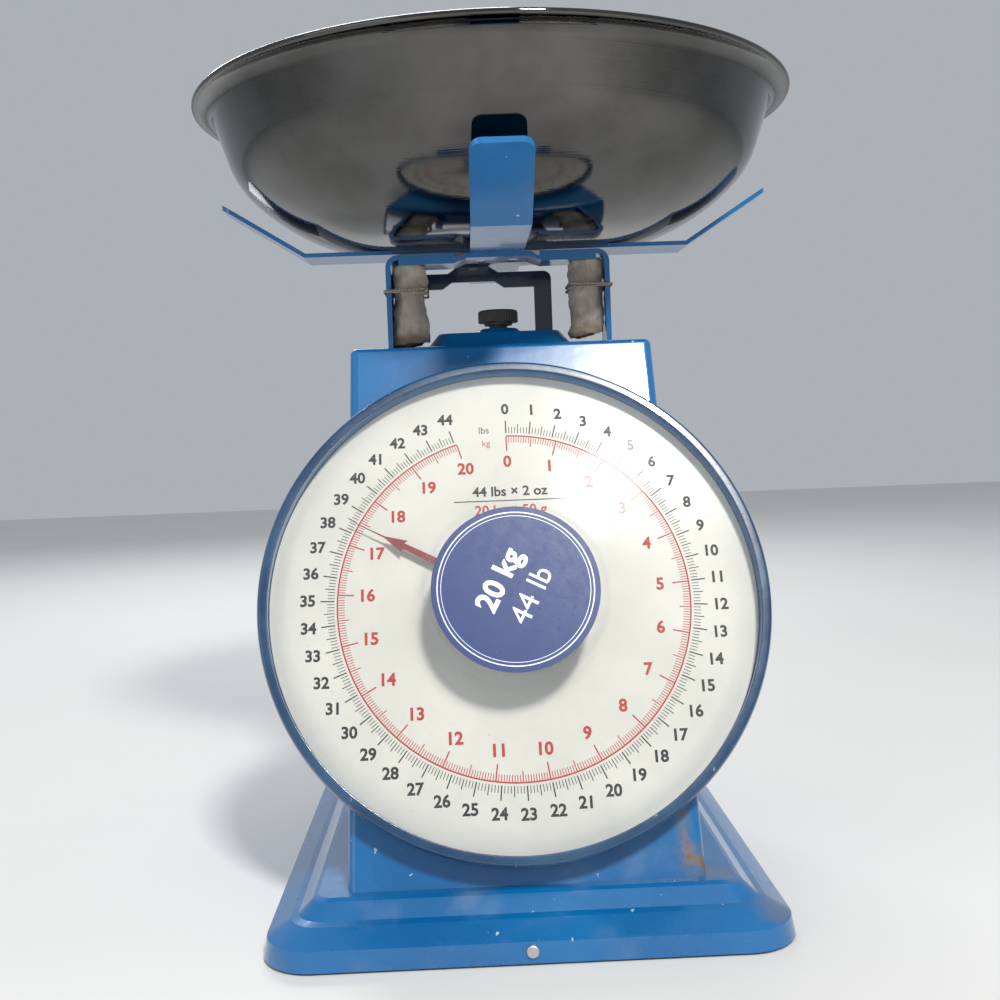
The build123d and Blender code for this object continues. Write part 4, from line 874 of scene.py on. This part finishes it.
# %% Twine
for side in ("left", "right"):
    low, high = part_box("packing_string_" + side)
    middle = (low + high) / 2
    thick = 0.55 * MM
    for turn, (drop, tilt) in enumerate(((0.3 * MM, 2.0), (-0.9 * MM, -3.0))):
        nothing_selected()
        bpy.ops.mesh.primitive_plane_add(size=1, location=(middle.x, middle.y, middle.z + drop))
        loop = started(f"twine_{side}_{turn + 1}")
        bpy.ops.mesh.select_all(action="SELECT")
        wide, deep = high.x - low.x - 2 * thick, high.y - low.y - 2 * thick
        bpy.ops.transform.resize(value=(wide, deep, 1))
        bpy.ops.mesh.bevel(offset=2.2 * MM, segments=6, affect="VERTICES")
        bpy.ops.mesh.delete(type="ONLY_FACE")
        bpy.ops.mesh.select_all(action="SELECT")
        bpy.ops.transform.rotate(value=radians(tilt * (1 if side == "left" else -1)), orient_axis="Y",
                                 center_override=(middle.x, middle.y, middle.z + drop))
        bpy.ops.object.mode_set(mode="OBJECT")
        bpy.ops.object.convert(target="CURVE")
        loop = bpy.context.object
        loop.data.bevel_depth = thick
        loop.data.bevel_resolution = 3
        bpy.ops.object.convert(target="MESH")
        loop = bpy.context.object
        settled(loop, None, 60)
        loop.data.materials.append(twine.material)
        if turn == 0:
            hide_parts("packing_string_" + side)
        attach(loop, "platform")
print("twine tied")

# %% [markdown]
# ## Main springs
# The two springs hang from the upper rod and carry the frame at the lower one. A copy of each spring,
# its doubled points merged, takes the oiled wire finish and stands in for the imported one.

# %% Springs
for side in ("left", "right"):
    source = nodes["main_spring_" + side]
    low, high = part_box("main_spring_" + side)
    spring = source.copy()
    spring.data = source.data.copy()
    spring.name = spring.data.name = "coil_spring_" + side
    spring.parent = None
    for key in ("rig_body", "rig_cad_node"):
        del spring[key]
    bpy.context.scene.collection.objects.link(spring)
    nothing_selected()
    spring.select_set(True)
    bpy.context.view_layer.objects.active = spring
    bpy.ops.object.mode_set(mode="EDIT")
    bpy.ops.mesh.select_all(action="SELECT")
    bpy.ops.mesh.remove_doubles(threshold=1e-6)
    settled(spring, None, 50)
    spring.data.materials.clear()
    spring.data.materials.append(wire.material)
    middle = (low + high) / 2
    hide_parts("main_spring_" + side)
    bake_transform(spring)
print("springs hung")

# %% [markdown]
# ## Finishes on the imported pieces
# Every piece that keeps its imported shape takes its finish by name.

# %% Give the finishes
finish_of = {
    blue: ["base_pan", "housing_shell", "rear_cover", "front_post_left", "front_post_right",
           "frame_bridge", "cross_long", "cross_lateral", "dial_case"],
    # painted shade: the rear frame takes the near-black copy of the blue enamel
    blue_in_painted_shade: ["rear_frame"],
    ring_paint: ["bezel_ring"],
    zinc: ["front_screw", "housing_screws", "cover_screws", "case_screws", "bracket_screws",
           "rack_screws", "post_screws", "cross_rivets", "movement_bracket", "top_bracket",
           "stay_post_left", "stay_post_right", "stay_pins", "frame_pins", "upper_stay",
           "lower_stay", "lower_yoke", "rack_hanger", "upper_spring_rod", "lower_spring_rod",
           "zero_screw", "bridge_block", "pinion_shaft"],
    brass: ["front_bush", "rear_bush", "pointer_hub", "rack"],
    wire: ["main_spring_left", "main_spring_right"],
    steel: ["bowl"],
    black: ["zero_knob"],
    rubber: ["foot_front_left", "foot_front_right", "foot_rear_left", "foot_rear_right",
             "travel_stop"],
    lens_plastic: ["lens"],
    label_print: ["lens_label"],
    dial_white: ["dial_plate"],
    lacquer: ["pointer"],
    paper: ["packing_roll_left", "packing_roll_right"],
    twine: ["packing_string_left", "packing_string_right"],
}
for finish, names in finish_of.items():
    for name in names:
        nodes[name].data.materials.clear()
        nodes[name].data.materials.append(finish.material)
print("finished", sum(len(names) for names in finish_of.values()), "of", len(nodes), "nodes")

# %% [markdown]
# ## The set
# A plain pale floor, one small light from above the viewer's right like a high sun, a very weak
# light from the left, a wider one behind, and an even grey-blue room. The bowl's dark base colour is
# painted dark reflection, far darker than stainless steel, and keeps its reflections dark.

# %% Floor
nothing_selected()
bpy.ops.mesh.primitive_grid_add(x_subdivisions=8, y_subdivisions=8, size=6, location=(0, 0, 0))
floor = bpy.context.object
floor.name = "floor"
floor_finish = Finish("pale_floor", Specular_IOR_Level=0.2)
faint = floor_finish.noise(3, 4)
floor_finish.feed(Base_Color=floor_finish.mix(faint, (0.70, 0.70, 0.69), (0.76, 0.76, 0.75)),
                  Roughness=0.7 + 0.1 * faint)
floor.data.materials.append(floor_finish.material)
floor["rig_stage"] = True
print("floor laid")

# %% Lights and room
def soft_light(name, place, target, size, power, colour):
    nothing_selected()
    bpy.ops.object.light_add(type="AREA", location=place)
    lamp = bpy.context.object
    lamp.name = name
    lamp.data.shape = "RECTANGLE"
    lamp.data.size, lamp.data.size_y = size
    lamp.data.energy = power
    lamp.data.color = colour
    lamp.rotation_euler = (Vector(target) - Vector(place)).to_track_quat("-Z", "Y").to_euler()
    return lamp


soft_light("key", (0.33, -1.22, 1.29), (0, -0.08, 0.13), (0.20, 0.20), 24, (1.0, 0.97, 0.92))
soft_light("fill", (-1.3, -1.1, 0.8), (0, 0, 0.15), (1.0, 0.9), 3, (0.9, 0.95, 1.0))
soft_light("back", (-0.3, 1.3, 1.2), (0, 0, 0.3), (0.8, 0.5), 12, (1.0, 1.0, 1.0))
room = bpy.data.worlds.new("dim_room")
room.use_nodes = True
room.node_tree.nodes["Background"].inputs[0].default_value = (0.75, 0.80, 0.86, 1.0)
room.node_tree.nodes["Background"].inputs[1].default_value = 0.55
bpy.context.scene.world = room
bpy.context.scene.view_settings.view_transform = "Standard"
print("lights set")

# %% [markdown]
# The viewer stands a little left of the dial's middle, about half a metre in front of it, with the
# camera held slightly down and not quite level.

# %% Camera
VIEWER = (-0.01846, -0.5899, 0.20748)
YAW, PITCH, ROLL = radians(-1.21), radians(-2.25), radians(2.17)
nothing_selected()
bpy.ops.object.camera_add()
camera = bpy.context.object
camera.data.sensor_width = 36
camera.data.lens = 42.21
camera.data.shift_x = 0.0079
camera.data.shift_y = -0.0205
aim = (Matrix.Rotation(YAW, 4, "Z") @ Matrix.Rotation(PITCH, 4, "X")
       @ Matrix.Rotation(ROLL, 4, "Y") @ Matrix.Rotation(radians(90), 4, "X"))
camera.matrix_world = Matrix.Translation(VIEWER) @ aim
camera.data.clip_start = 0.01
bpy.context.scene.camera = camera
print("camera at", tuple(round(value, 3) for value in camera.location))

# %% [markdown]
# ## The finished size
# The box round every shown piece of the scale, the floor left out, is printed. The finished
# model has to stay inside the imported one's box.

# %% Sizes
low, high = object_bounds()
print("finished box", [round(v, 4) for v in (*low, *high)])
